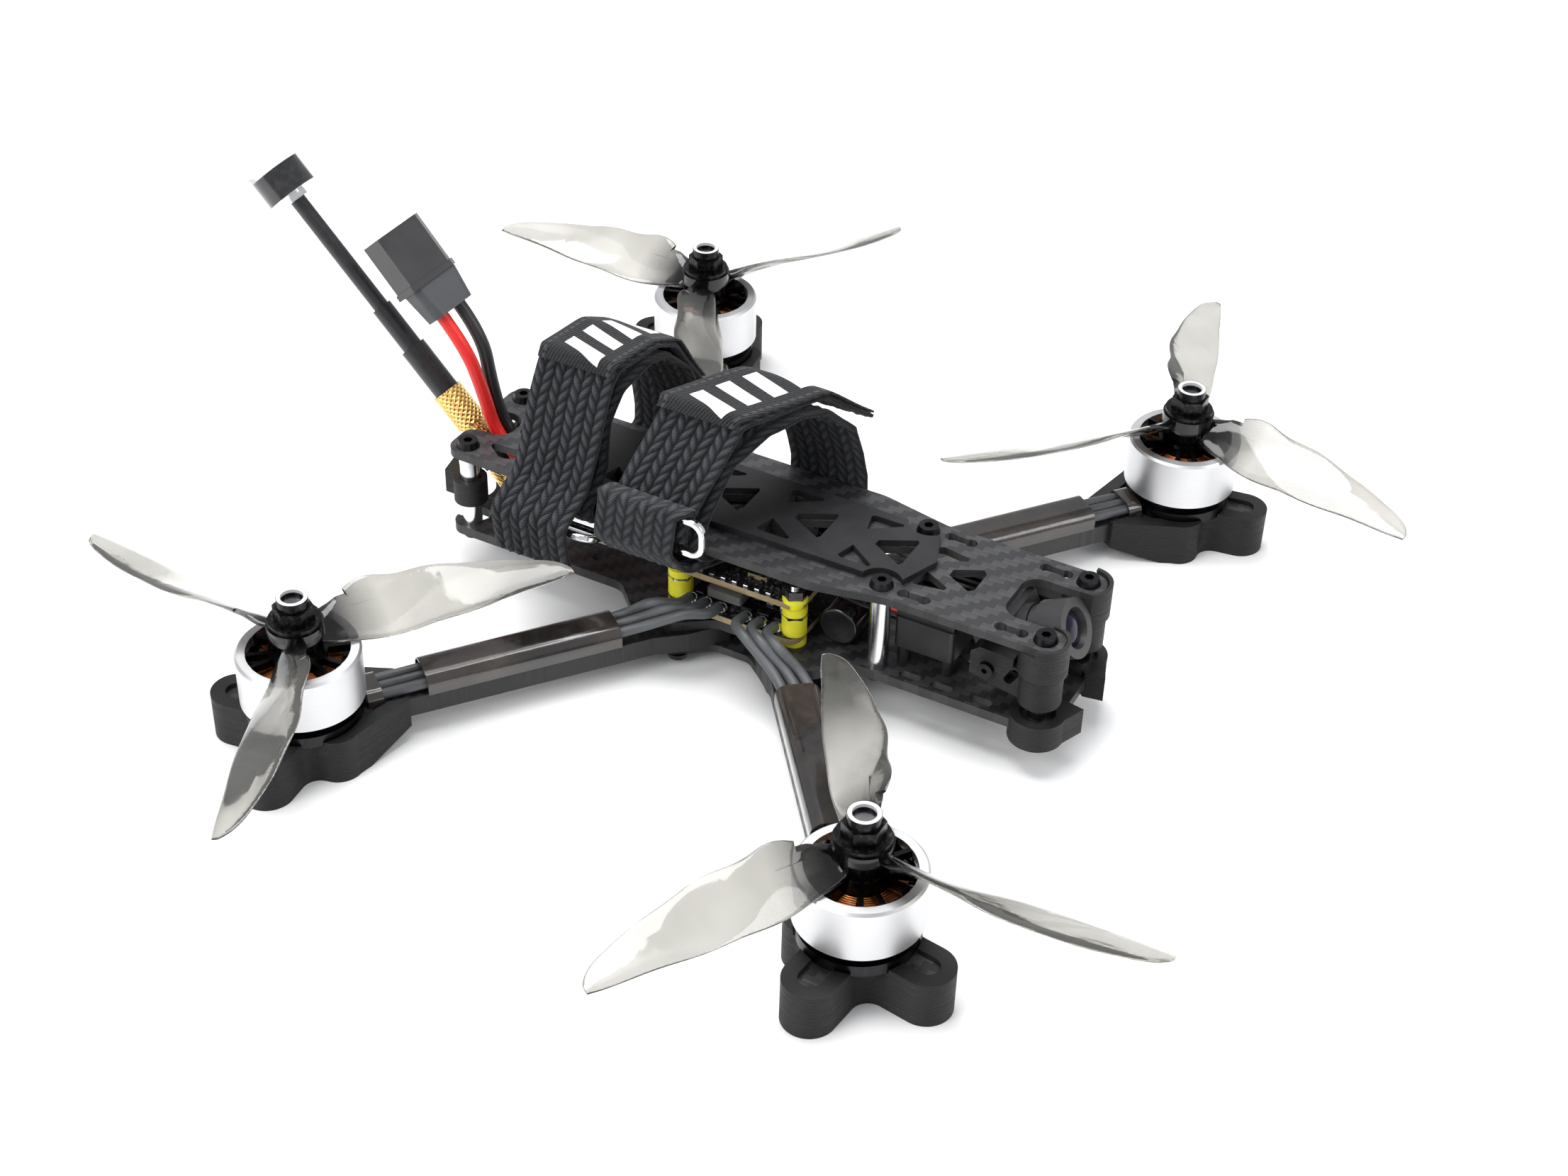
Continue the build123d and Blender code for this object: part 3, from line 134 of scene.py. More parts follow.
class Surface:
    """A node material, with short names for the nodes that it's built from."""

    def __init__(self, name, **sockets):
        self.material = bpy.data.materials.new(name)
        self.material.use_nodes = True
        self.tree = self.material.node_tree
        self.shader = self.tree.nodes["Principled BSDF"]
        self.set(**sockets)

    def set(self, **sockets):
        for key, value in sockets.items():
            self.plug(self.shader.inputs[key.replace("_", " ")], value)

    def plug(self, socket, value):
        """Link a socket to another, or set it. A colour may be given without its alpha."""
        if isinstance(value, bpy.types.NodeSocket):
            self.tree.links.new(value, socket)
        elif isinstance(value, tuple) and len(value) == 3 and len(socket.default_value) == 4:
            socket.default_value = (*value, 1)
        else:
            socket.default_value = value

    def node(self, kind, inputs=None, **attributes):
        made = self.tree.nodes.new("ShaderNode" + kind)
        for key, value in attributes.items():
            setattr(made, key, value)
        for key, value in (inputs or {}).items():
            self.plug(made.inputs[key], value)
        return made

    def math(self, operation, a, b=0.0):
        return self.node("Math", {0: a, 1: b}, operation=operation).outputs[0]

    def plus(self, a, b):
        return self.math("ADD", a, b)

    def minus(self, a, b):
        return self.math("SUBTRACT", a, b)

    def times(self, a, b):
        return self.math("MULTIPLY", a, b)

    def below(self, a, b):
        return self.math("LESS_THAN", a, b)

    def above(self, a, b):
        return self.math("GREATER_THAN", a, b)

    def modulo(self, a, b):
        return self.math("FLOORED_MODULO", a, b)

    def absolute(self, a):
        return self.math("ABSOLUTE", a)

    def sine(self, a):
        return self.math("SINE", a)

    def place(self, kind="Object"):
        return self.node("TexCoord").outputs[kind]

    def xyz(self, vector=None):
        split = self.node("SeparateXYZ", {0: vector or self.place()})
        return split.outputs[0], split.outputs[1], split.outputs[2]

    def join(self, x, y):
        return self.node("CombineXYZ", {0: x, 1: y}).outputs[0]

    def noise(self, scale, vector=None, detail=3.0, stretch=None):
        vector = vector or self.place()
        if stretch:
            vector = self.node("Mapping", {"Vector": vector, "Scale": stretch}).outputs[0]
        inputs = {"Vector": vector, "Scale": scale, "Detail": detail}
        return self.node("TexNoise", inputs).outputs[0]

    def ramp(self, value, low, high, start=0.0, stop=1.0):
        """From start to stop as value goes from low to high, and level outside them."""
        made = self.node("MapRange", {0: value, 1: low, 2: high, 3: start, 4: stop})
        return made.outputs[0]

    def blend(self, share, a, b):
        """Colour a where share is 0, colour b where it is 1."""
        return self.node("Mix", {0: share, 6: a, 7: b}, data_type="RGBA").outputs[2]

    def mix(self, share, a, b):
        """Number a where share is 0, number b where it is 1."""
        return self.node("Mix", {0: share, 2: a, 3: b}, data_type="FLOAT").outputs[0]

    def bump(self, height, depth, strength=1.0, under=None):
        inputs = {"Height": height, "Distance": depth, "Strength": strength}
        if under:
            inputs["Normal"] = under
        return self.node("Bump", inputs).outputs[0]

    def from_motor(self):
        """How far a point is from the nearest motor's axis, and its height, in millimetres."""
        x, y, z = self.xyz()
        across = self.minus(self.absolute(x), MOTOR_X)
        along = self.minus(self.absolute(self.plus(y, AFT)), MOTOR_Y)
        squares = self.plus(self.times(across, across), self.times(along, along))
        return self.times(self.math("SQRT", squares), 1 / MM), self.times(z, 1 / MM)

    def run_along(self, root, way):
        """How far a point is from root along the direction way, in metres."""
        from_root = self.node("VectorMath", {0: self.place(), 1: tuple(root)},
                              operation="SUBTRACT").outputs[0]
        return self.node("VectorMath", {0: from_root, 1: tuple(way)},
                         operation="DOT_PRODUCT").outputs["Value"]

    def levelness(self):
        """1 on a face that looks straight up or down, 0 on a plate's cut edge."""
        normal = self.node("NewGeometry").outputs["Normal"]
        return self.absolute(self.xyz(normal)[2])


def carbon():
    """2 by 2 twill carbon plate with a satin skin, and layers in its cut edges."""
    s = Surface("carbon", Specular_IOR_Level=0.45, Coat_Weight=0.12, Coat_Roughness=0.25)
    tow, ply = 1.9 * MM, 0.24 * MM
    x, y, z = s.xyz()
    u, v = s.math("DIVIDE", x, tow), s.math("DIVIDE", y, tow)
    cell = s.plus(s.math("FLOOR", u), s.math("FLOOR", v))
    warp = s.below(s.modulo(cell, 4.0), 1.5)
    arch = []
    for along in (u, v):
        ramped = s.minus(s.times(s.math("FRACT", along), 2.0), 1.0)
        arch.append(s.minus(1.0, s.math("POWER", s.absolute(ramped), 3.0)))
    fibre_warp = s.noise(60, stretch=(60, 2.5, 1), detail=2)
    fibre_weft = s.noise(60, stretch=(2.5, 60, 1), detail=2)
    fibre = s.mix(warp, fibre_weft, fibre_warp)
    cloud = s.noise(90, detail=2)
    # The warp-over cells carry painted sheen and the weft-over cells painted shade.
    weft_shade = s.blend(fibre, (0.006, 0.006, 0.007), NIGHT)
    warp_sheen = s.blend(fibre, NIGHT, (0.060, 0.060, 0.064))
    weave = s.blend(warp, weft_shade, warp_sheen)
    weave = s.blend(s.ramp(cloud, 0.35, 0.7, 0.0, 0.3), weave, SOOT)
    flat = s.above(s.levelness(), 0.6)
    layers = s.sine(s.times(z, 2 * pi / ply))
    cut = s.blend(s.ramp(layers, -1, 1), (0.006, 0.006, 0.006), (0.03, 0.03, 0.031))
    skin = s.plus(s.times(s.mix(warp, arch[1], arch[0]), 0.8), s.times(fibre, 0.25))
    s.set(Base_Color=s.blend(flat, cut, weave), Roughness=s.plus(s.times(warp, -0.14), 0.5),
          Normal=s.bump(s.mix(flat, layers, skin), 0.06 * MM, 0.9))
    return s.material


def printed_rubber():
    """Black printed rubber, with the printer's layers across its sides."""
    s = Surface("printed_rubber", Specular_IOR_Level=0.35)
    printed_layer = 0.42 * MM
    z = s.xyz()[2]
    wobble = s.times(s.noise(400, detail=1), 0.06 * MM)
    layer = s.sine(s.times(s.plus(z, wobble), 2 * pi / printed_layer))
    grain = s.noise(2600, detail=2)
    streak = s.noise(55, stretch=(1, 1, 45), detail=2)
    s.set(Base_Color=s.blend(s.ramp(streak, 0.3, 0.75), (0.0048,) * 3, (0.016,) * 3),
          Roughness=s.ramp(streak, 0.3, 0.7, 0.42, 0.68),
          Normal=s.bump(grain, 0.06 * MM, 0.6, s.bump(layer, 0.10 * MM, 0.9)))
    return s.material


def deck_rubber():
    """The battery pad: dull moulded rubber with a fine pebble."""
    s = Surface("deck_rubber", Specular_IOR_Level=0.3)
    grain = s.noise(1500, detail=4)
    dust = s.noise(120, detail=5)
    s.set(Base_Color=s.blend(s.ramp(dust, 0.4, 0.75), BLACK, (0.022, 0.022, 0.024)),
          Roughness=s.ramp(dust, 0.3, 0.7, 0.55, 0.78), Normal=s.bump(grain, 0.12 * MM, 0.7))
    return s.material


def metal(name, colour, rough, streaks=(1, 1, 400), streak_scale=60, depth=0.012):
    """Machined metal with fine tool lines, depth in millimetres."""
    s = Surface(name, Metallic=1.0)
    lines = s.noise(streak_scale, stretch=streaks, detail=3)
    smudge = s.noise(70, detail=4)
    darker = tuple(c * 0.86 for c in colour)
    s.set(Base_Color=s.blend(s.ramp(lines, 0.35, 0.65), darker, colour),
          Roughness=s.ramp(smudge, 0.3, 0.7, rough * 0.8, rough * 1.25),
          Normal=s.bump(lines, depth * MM, 0.6))
    return s.material


def bell_metal():
    """Turned silver rim, black anodised spokes and hub, bare steel shaft."""
    s = Surface("bell_metal", Metallic=1.0)
    radius, z = s.from_motor()
    rim, shaft = s.above(radius, RIM_INSIDE), s.below(radius, SHAFT_RADIUS)
    turned = s.noise(1.0, s.join(s.times(radius, 9.0), s.times(z, 9.0)), detail=2)
    haze = s.noise(150, detail=4)
    silver = s.blend(s.ramp(turned, 0.3, 0.7), (0.56, 0.56, 0.57), (0.70, 0.70, 0.71))
    steel = s.blend(s.ramp(haze, 0.3, 0.7), (0.16, 0.16, 0.17), (0.24, 0.24, 0.25))
    body = s.blend(rim, (0.018, 0.018, 0.019), silver)
    s.set(Base_Color=s.blend(shaft, body, steel),
          Roughness=s.plus(s.ramp(haze, 0.3, 0.7, 0.22, 0.27), s.times(rim, 0.17)),
          Normal=s.bump(turned, 0.006 * MM, 0.5))
    return s.material


def copper_wire():
    """Enamelled windings, each turn a ridge."""
    s = Surface("copper_wire", Metallic=0.85, Roughness=0.3, Coat_Weight=0.5)
    wire_wide = 0.62
    turns = s.sine(s.times(s.from_motor()[0], 2 * pi / wire_wide))
    tone = s.noise(500, detail=2)
    s.set(Base_Color=s.blend(s.ramp(tone, 0.35, 0.65), (0.46, 0.13, 0.035), (0.80, 0.30, 0.09)),
          Normal=s.bump(turns, 0.16 * MM, 1.0))
    return s.material


def smoke_plastic():
    """Propellers: clear smoke-grey blades that darken into a thick hub."""
    s = Surface("smoke_plastic", Roughness=0.07, IOR=1.49, Transmission_Weight=0.93,
                Specular_IOR_Level=0.55)
    clear = s.ramp(s.from_motor()[0], HUB_DARK, HUB_CLEAR)
    cloud = s.noise(55, detail=2)
    thin = s.blend(s.ramp(cloud, 0.35, 0.65), (0.42, 0.41, 0.375), (0.50, 0.49, 0.455))
    ripple = s.noise(60, detail=1)
    s.set(Base_Color=s.blend(clear, SOOT, thin), Normal=s.bump(ripple, 0.02 * MM, 0.15))
    return s.material


def lock_nut():
    """Black plated nut with a pale nylon ring at its top."""
    s = Surface("lock_nut")
    radius, z = s.from_motor()
    ring = s.times(s.below(radius, NYLON_RADIUS), s.above(z, NYLON_LOW))
    worn = s.noise(900, detail=3)
    plated = s.blend(s.ramp(worn, 0.5, 0.8), SOOT, (0.05, 0.05, 0.052))
    s.set(Base_Color=s.blend(ring, plated, (0.56, 0.57, 0.58)),
          Metallic=s.minus(0.9, s.times(ring, 0.9)),
          Roughness=s.ramp(worn, 0.3, 0.7, 0.22, 0.38), Normal=s.bump(worn, 0.02 * MM, 0.4))
    return s.material


def plastic(name, colour, rough=0.4, grain=1800, depth=0.02, lighter=1.7, coat=0.0):
    """Moulded plastic, rubber or paint with a fine skin and uneven gloss, depth in millimetres."""
    s = Surface(name, Coat_Weight=coat, Coat_Roughness=0.12)
    fine, broad = s.noise(grain, detail=3), s.noise(110, detail=4)
    pale = tuple(min(1.0, c * lighter) for c in colour)
    s.set(Base_Color=s.blend(s.ramp(broad, 0.35, 0.75), colour, pale),
          Roughness=s.ramp(broad, 0.3, 0.7, rough * 0.8, rough * 1.2),
          Normal=s.bump(fine, depth * MM, 0.6))
    return s.material


def shrink_tube():
    """Heat-shrink: thin glossy brown-black skin, creased over the wires inside."""
    s = Surface("shrink_tube", Coat_Weight=0.6, Coat_Roughness=0.06, Specular_IOR_Level=0.6)
    crease_and_shade, fine = s.noise(45, detail=4), s.noise(320, detail=3)
    # Colour follows the crease height: painted shade darkens the hollows, the ridges stay brown.
    colour = s.blend(s.ramp(crease_and_shade, 0.4, 0.7), (0.010, 0.008, 0.007), (0.045, 0.034, 0.028))
    s.set(Base_Color=colour, Roughness=s.ramp(fine, 0.3, 0.7, 0.12, 0.26),
          Normal=s.bump(fine, 0.10 * MM, 0.5, s.bump(crease_and_shade, 0.9 * MM, 0.6)))
    return s.material


def antenna_skin():
    """Gold knurled nut at the antenna's root, then black shrink tube."""
    s = Surface("antenna_skin")
    knurls, knurl_slope = 16.0, 4200.0
    run = s.run_along(ANTENNA_ROOT, ANTENNA_WAY)
    over = s.run_along(ANTENNA_ROOT, ANTENNA_WAY.cross(Vector((1, 0, 0))))
    turn = s.times(s.math("ARCTAN2", over, s.xyz()[0]), knurls)
    ridges = [s.sine(s.plus(turn, s.times(run, sign * knurl_slope))) for sign in (1, -1)]
    gold = s.below(run, ROOT_NUT_LONG * MM)
    fine = s.noise(500, detail=3)
    relief = s.plus(s.times(s.math("MAXIMUM", *ridges), gold), s.times(fine, 0.5))
    black = s.blend(s.ramp(fine, 0.3, 0.8), BLACK, (0.015, 0.015, 0.017))
    depth = s.plus(0.02 * MM, s.times(gold, 0.2 * MM))
    s.set(Base_Color=s.blend(gold, black, (0.95, 0.62, 0.20)), Metallic=gold,
          Roughness=s.ramp(fine, 0.3, 0.7, 0.26, 0.34), Normal=s.bump(relief, depth, 0.8))
    return s.material


def head_skin():
    """The antenna's head: silver collar, glossy black band and a clear cap."""
    s = Surface("head_skin", Coat_Weight=0.5, Coat_Roughness=0.05)
    run = s.run_along(ANTENNA_ROOT, ANTENNA_WAY)
    collar, cap = s.below(run, COLLAR_END * MM), s.above(run, CAP_START * MM)
    fine = s.noise(600, detail=3)
    band = s.blend(s.ramp(fine, 0.4, 0.7), (0.008, 0.008, 0.009), (0.020, 0.020, 0.022))
    colour = s.blend(cap, s.blend(collar, band, (0.74, 0.74, 0.74)), (0.86, 0.88, 0.90))
    s.set(Base_Color=colour, Metallic=collar, Transmission_Weight=s.times(cap, 0.75),
          Roughness=s.ramp(fine, 0.3, 0.7, 0.12, 0.22), Normal=s.bump(fine, 0.03 * MM, 0.4))
    return s.material


def knurled_gold():
    """Plated socket and pins, with crossed knurling."""
    s = Surface("knurled_gold", Metallic=1.0)
    knurl_slope = 5200.0
    x, _, z = s.xyz()
    ridges = [s.sine(s.times(lean, knurl_slope)) for lean in (s.plus(x, z), s.minus(x, z))]
    fine = s.noise(700, detail=3)
    s.set(Base_Color=s.blend(s.ramp(fine, 0.3, 0.7), (0.78, 0.47, 0.13), (0.98, 0.68, 0.26)),
          Roughness=s.ramp(fine, 0.3, 0.7, 0.16, 0.30),
          Normal=s.bump(s.math("MAXIMUM", *ridges), 0.12 * MM, 0.7))
    return s.material


def circuit_board():
    """Dark solder mask with fine tracks, and bare tan laminate in the cut edge."""
    s = Surface("circuit_board", Specular_IOR_Level=0.5)
    cells = s.node("TexVoronoi", {"Vector": s.place(), "Scale": 900.0}, distance="CHEBYCHEV")
    tracks = s.below(cells.outputs["Distance"], 0.24)
    fine = s.noise(1400, detail=3)
    edge = s.below(s.levelness(), 0.5)
    mask = s.blend(tracks, (0.006, 0.008, 0.008), (0.10, 0.095, 0.075))
    laminate = s.blend(fine, (0.20, 0.15, 0.075), (0.34, 0.26, 0.14))
    s.set(Base_Color=s.blend(edge, mask, laminate), Roughness=s.ramp(fine, 0.3, 0.7, 0.26, 0.5),
          Normal=s.bump(tracks, 0.05 * MM, 0.6))
    return s.material


def lens_glass():
    """Coated front glass over a dark barrel."""
    s = Surface("lens_glass", Roughness=0.12, Specular_IOR_Level=0.18)
    edge = s.node("LayerWeight", {"Blend": 0.35}).outputs["Facing"]
    swirl = s.noise(300, detail=1)
    # The glass turns purple toward grazing views: a painted coating reflection.
    glass_and_reflection = s.blend(edge, (0.004, 0.004, 0.008), (0.020, 0.012, 0.045))
    s.set(Base_Color=s.blend(s.times(swirl, 0.3), glass_and_reflection, (0.004, 0.012, 0.012)))
    return s.material


def webbing():
    """Black knitted strap. Its links are modelled; this adds yarn, fuzz and painted gap shade."""
    s = Surface("webbing", Sheen_Weight=0.12, Sheen_Roughness=0.5, Specular_IOR_Level=0.22,
                Roughness=0.85)
    u, v, _ = s.xyz(s.place("UV"))
    yarn = s.sine(s.times(s.plus(s.times(u, 2.2), s.times(v, 34.0)), 5.2))
    fuzz, worn = s.noise(2600, detail=5), s.noise(160, detail=3)
    knit = s.node("Attribute", attribute_name="relief").outputs["Fac"]
    # The knit relief paints the link tops lighter and the gaps darker: painted highlight and shade.
    tone = s.plus(s.plus(s.times(fuzz, 0.45), s.times(worn, 0.25)), s.times(knit, 0.62))
    relief = s.plus(s.times(yarn, 0.35), fuzz)
    colour = s.blend(s.ramp(tone, 0.42, 1.0), (0.0035, 0.0037, 0.0045), (0.052, 0.057, 0.066))
    s.set(Base_Color=colour, Normal=s.bump(relief, 0.25 * MM, 0.8))
    return s.material


def label_cloth():
    """Dense satin label: a stitched border, and four plain bars where the photo has lettering."""
    s = Surface("label_cloth", Sheen_Weight=0.08, Specular_IOR_Level=0.25, Roughness=0.8)
    stitch_in, stitch_half, stitch_long = 0.075, 0.020, 1.9
    bar_lean, bar_pitch, bar_long, bars_end, bars_in = 7.0, 6.4, 3.4, 25.0, 0.22
    u, v, _ = s.xyz(s.place("UV"))
    from_edge = s.minus(0.5, s.absolute(s.minus(v, 0.5)))
    near_edge = s.below(s.absolute(s.minus(from_edge, stitch_in)), stitch_half)
    dash = s.above(s.sine(s.times(u, 2 * pi / stitch_long)), -0.35)
    stitch = s.times(near_edge, dash)
    lean = s.minus(u, s.times(v, bar_lean))
    bar = s.times(s.below(s.modulo(lean, bar_pitch), bar_long), s.above(from_edge, bars_in))
    mark = s.times(bar, s.times(s.above(lean, -0.5), s.below(lean, bars_end)))
    thread = s.sine(s.plus(s.times(v, 150.0), s.times(u, 2.6)))
    fuzz = s.noise(2600, detail=4)
    ground = s.blend(s.ramp(s.plus(s.times(thread, 0.2), fuzz), 0.25, 0.8),
                     (0.003, 0.003, 0.004), (0.024, 0.025, 0.028))
    white = s.blend(s.ramp(thread, -1, 1), (0.55, 0.55, 0.55), (0.86, 0.86, 0.86))
    colour = s.blend(s.times(stitch, 0.35), s.blend(mark, ground, white), (0.10, 0.10, 0.10))
    relief = s.plus(s.plus(s.times(thread, 0.3), fuzz), s.plus(s.times(stitch, 1.2), mark))
    s.set(Base_Color=colour, Normal=s.bump(relief, 0.24 * MM, 0.9))
    return s.material


# ---------------------------------------------------------------- pieces

def link(name, mesh, material, body="frame", smooth=True):
    """A new piece from a mesh, riding on a body."""
    piece = bpy.data.objects.new(name, mesh)
    bpy.context.collection.objects.link(piece)
    mesh.materials.append(material)
    if smooth:
        mesh.shade_smooth()
    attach(piece, body)
    return piece


def rounded_path(corners, radii):
    """Points along straight runs with round corners, for the edge view of a strap."""
    corners = [np.array(c, float) for c in corners]
    points = [corners[0]]
    for before, corner, after, radius in zip(corners, corners[1:], corners[2:], radii):
        into = (corner - before) / np.linalg.norm(corner - before)
        out = (after - corner) / np.linalg.norm(after - corner)
        turn = atan2(into[0] * out[1] - into[1] * out[0], float(into @ out))
        cut = radius * abs(np.tan(turn / 2))
        start = corner - into * cut
        side = np.array((-into[1], into[0])) * np.sign(turn)
        centre = start + side * radius
        count = max(3, int(abs(turn) * radius / PATH_STEP))
        for k in range(count + 1):
            a = turn * k / count
            arm = -side * radius
            points.append(centre + np.array((arm[0] * cos(a) - arm[1] * sin(a),
                                             arm[0] * sin(a) + arm[1] * cos(a))))
    points.append(corners[-1])
    dense = [points[0]]
    for a, b in zip(points, points[1:]):
        pieces = max(1, int(round(np.linalg.norm(b - a) / PATH_STEP)))
        dense += [a + (b - a) * (k + 1) / pieces for k in range(pieces)]
    return np.array(dense)


def knit_height(u, v):
    """Relief of the coarse knit: chains of slanting links. u is along in mm, v is 0 to 1 across."""
    column = v * COLUMNS
    inside = column - np.floor(column)
    swell = np.sin(pi * inside) ** 0.8
    lean = np.where(np.floor(column) % 2 == 0, 1.0, -1.0)
    shift = LINK_SHIFT * np.floor(column)
    turns = u / LINK_LONG + shift + lean * (inside - 0.5) * LINK_LEAN
    link_wave = 0.5 + 0.5 * np.cos(2 * pi * turns)
    return swell * (0.12 + 0.88 * link_wave ** 0.7)


def ribbon(name, path, strap, thick, material, knit=0.0, lining=0.0, wide=1.0, across=65):
    """A strap of real thickness that follows path, a line of (x, z), slanting across the craft.

    Its left-hand side, seen along +Y, is the outer face. knit and lining are the relief on the
    outer and the inner face, and across is how many points its width takes. It returns the piece
    and its length in metres.
    """
    middle, slant = STRAPS[strap]
    tangent = np.gradient(path, axis=0)
    tangent /= np.linalg.norm(tangent, axis=1)[:, None]
    outward = np.stack((-tangent[:, 1], tangent[:, 0]), 1)
    run = np.concatenate(([0], np.cumsum(np.linalg.norm(np.diff(path, axis=0), axis=1)))) / MM
    span = STRAP_WIDE * wide * np.sqrt(1 + (slant * tangent[:, 0]) ** 2)
    v = np.linspace(0, 1, across)
    rows, uv, relief = [], [], []
    body = 1 - (2 * np.abs(v - 0.5)) ** 14      # 1 across the middle, 0 at the selvedges
    for face, rise in ((1, knit), (-1, lining)):
        for k, (x, z) in enumerate(path):
            sway = SWAY * np.sin(run[k] * SWAY_RATE + 2.0 * face * v)
            drift = DRIFT * sin(run[k] * DRIFT_RATE)
            y = middle - slant * x + (v - 0.5) * span[k] + drift
            high = knit_height(run[k], v)
            half = thick / 2 * (0.55 + 0.45 * body) + rise * (high - 0.4) * body
            lift = face * half + sway
            rows.append(np.stack((x + outward[k, 0] * lift, y, z + outward[k, 1] * lift), 1))
            uv.append(np.stack((np.full(across, run[k]), v), 1))
            relief.append(high if rise else np.full(across, PLAIN_RELIEF))
    count = len(path)
    points, uv = np.concatenate(rows), np.concatenate(uv)
    at = np.arange(2 * count * across).reshape(2, count, across)
    faces = []
    for side in (0, 1):
        a, b = at[side, :-1, :-1].ravel(), at[side, 1:, :-1].ravel()
        c, d = at[side, 1:, 1:].ravel(), at[side, :-1, 1:].ravel()
        faces.append(np.stack((a, b, c, d) if side else (a, d, c, b), 1))
    rims = [(at[0, :, j], at[1, :, j]) for j in (0, across - 1)]
    rims += [(at[0, k], at[1, k]) for k in (0, count - 1)]
    for top, low in rims:
        faces.append(np.stack((top[:-1], top[1:], low[1:], low[:-1]), 1))
    mesh = bpy.data.meshes.new(name)
    mesh.from_pydata(points.tolist(), [], np.concatenate(faces).tolist())
    knitted = mesh.attributes.new("relief", "FLOAT", "POINT")
    knitted.data.foreach_set("value", np.concatenate(relief))
    layer = mesh.uv_layers.new(name="along")
    corners = np.empty(len(mesh.loops), int)
    mesh.loops.foreach_get("vertex_index", corners)
    layer.data.foreach_set("uv", uv[corners].ravel())
    made = bmesh.new()
    made.from_mesh(mesh)
    bmesh.ops.recalc_face_normals(made, faces=made.faces)
    made.to_mesh(mesh)
    made.free()
    return link(name, mesh, material), run[-1] * MM


def wire(name, points, radius, material):
    """A smooth round wire along points used as a spline's control points."""
    curve = bpy.data.curves.new(name, "CURVE")
    curve.dimensions = "3D"
    curve.bevel_depth = radius
    curve.bevel_resolution = 5
    curve.resolution_u = 14
    curve.use_fill_caps = True
    line = curve.splines.new("NURBS")
    line.points.add(len(points) - 1)
    for knot, place in zip(line.points, points):
        knot.co = (*place, 1)
    line.order_u = 3
    line.use_endpoint_u = True
    curve.materials.append(material)
    piece = bpy.data.objects.new(name, curve)
    bpy.context.collection.objects.link(piece)
    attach(piece, "frame")
    return piece


def power_leads(red, black):
    """The two leads from the speed controller out to the power plug."""
    axis = Vector(PLUG_AXIS).normalized()
    wide = Vector(PLUG_WIDE)
    wide = (wide - axis * wide.dot(axis)).normalized()
    cap_end = Vector(PLUG_END) - axis * CAP_DEEP
    for name, s, material in (("lead_red", -1, red), ("lead_black", 1, black)):
        tip = cap_end + wide * (s * LEADS_HALF_APART)
        before = tip - axis * LEAD_STRAIGHT
        route = [
            (s * 3.4, 19.6, 18.3), (s * 3.4, 31.0, 18.5), (s * 3.2, 46.0, 19.3),
            (s * 2.4, 58.0, 21.9), (s * 1.95, 68.5, 26.9), (s * 1.9, 76.6, 33.3),
            (s * 1.9 - 0.6, 79.2, 44.9), tuple(before), tuple(tip),
        ]
        points = [frame_place(place) for place in route]
        piece = wire(name + "_cord", points, LEAD_RADIUS * MM, material)
        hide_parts(name)


def strap_lines(strap):
    """The edge views of one strap's inner loop, outer lap and label, in millimetres."""
    under = [(0, 31.45), (-21.45, 31.45)]
    back = [(21.45, 37.5), (21.45, 31.45), (0.1, 31.45)]
    if strap == "front":
        loop = [(-21.5, 36.0), (-18.4, 44.5), (-12.4, 55.0), (-4.5, 60.5), (2.5, 61.8),
                (10.5, 60.2), (18.0, 52.5), (20.3, 44.0)]
        lap = [(-24.4, 38.0), (-24.3, 41.5), (-10.6, 65.0), (9.3, 64.8), (21.2, 54.9)]
        label = [(-12.6, 64.0), (-11.2, 66.3), (9.6, 66.1), (22.0, 55.8)]
    else:
        loop = [(-21.3, 36.2), (-15.6, 44.5), (-13.4, 56.0), (-9.0, 62.9), (0, 65.6),
                (7.4, 64.4), (15.2, 57.2), (20.0, 46.6)]
        lap = [(-29.2, 23.0), (-30.5, 34.6), (-23.0, 41.0), (-16.8, 56.0), (-11.0, 68.6),
               (2.5, 69.0), (10.3, 65.6), (20.4, 50.8)]
        label = [(-12.7, 67.4), (-11.4, 70.1), (2.8, 70.3), (11.1, 66.7), (21.4, 51.6)]
    return under + loop + back, lap, label


def straps(knit, label_skin):
    """Both battery straps: inner loop, outer lap and label, and the front one's turned-back end."""
    for strap in STRAPS:
        loop, lap, label = [[(x * MM, z * MM) for x, z in line] for line in strap_lines(strap)]
        bends = [2.2 * MM] * 2 + [4 * MM] * (len(loop) - 5) + [2.2 * MM]
        inner, ring = ribbon(f"strap_{strap}_loop", rounded_path(loop, bends), strap, 1.2 * MM,
                             knit, knit=0.3 * MM, lining=0.6 * MM)
        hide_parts(f"strap_{strap}")
        bends = [3 * MM] * 2 + [5 * MM] * (len(lap) - 4)
        outer, run = ribbon(f"strap_{strap}_lap", rounded_path(lap, bends), strap, 1.3 * MM,
                            knit, knit=0.9 * MM, lining=0.3 * MM)
        bends = [1.5 * MM] + [6 * MM] * (len(label) - 3)
        patch, cover = ribbon(f"strap_{strap}_label", rounded_path(label, bends), strap,
                              0.8 * MM, label_skin, wide=0.985, across=41)
    fold = [(-23.3, 46.9), (-27.3, 46.6), (-28.3, 35.6), (-24.6, 29.9), (-13.0, 29.9)]
    path = rounded_path([(x * MM, z * MM) for x, z in fold], [1.4 * MM, 5 * MM, 2.5 * MM])
    turned, run = ribbon("strap_front_fold", path[::-1], "front", 1.2 * MM, knit, knit=0.3 * MM,
                         lining=0.85 * MM)


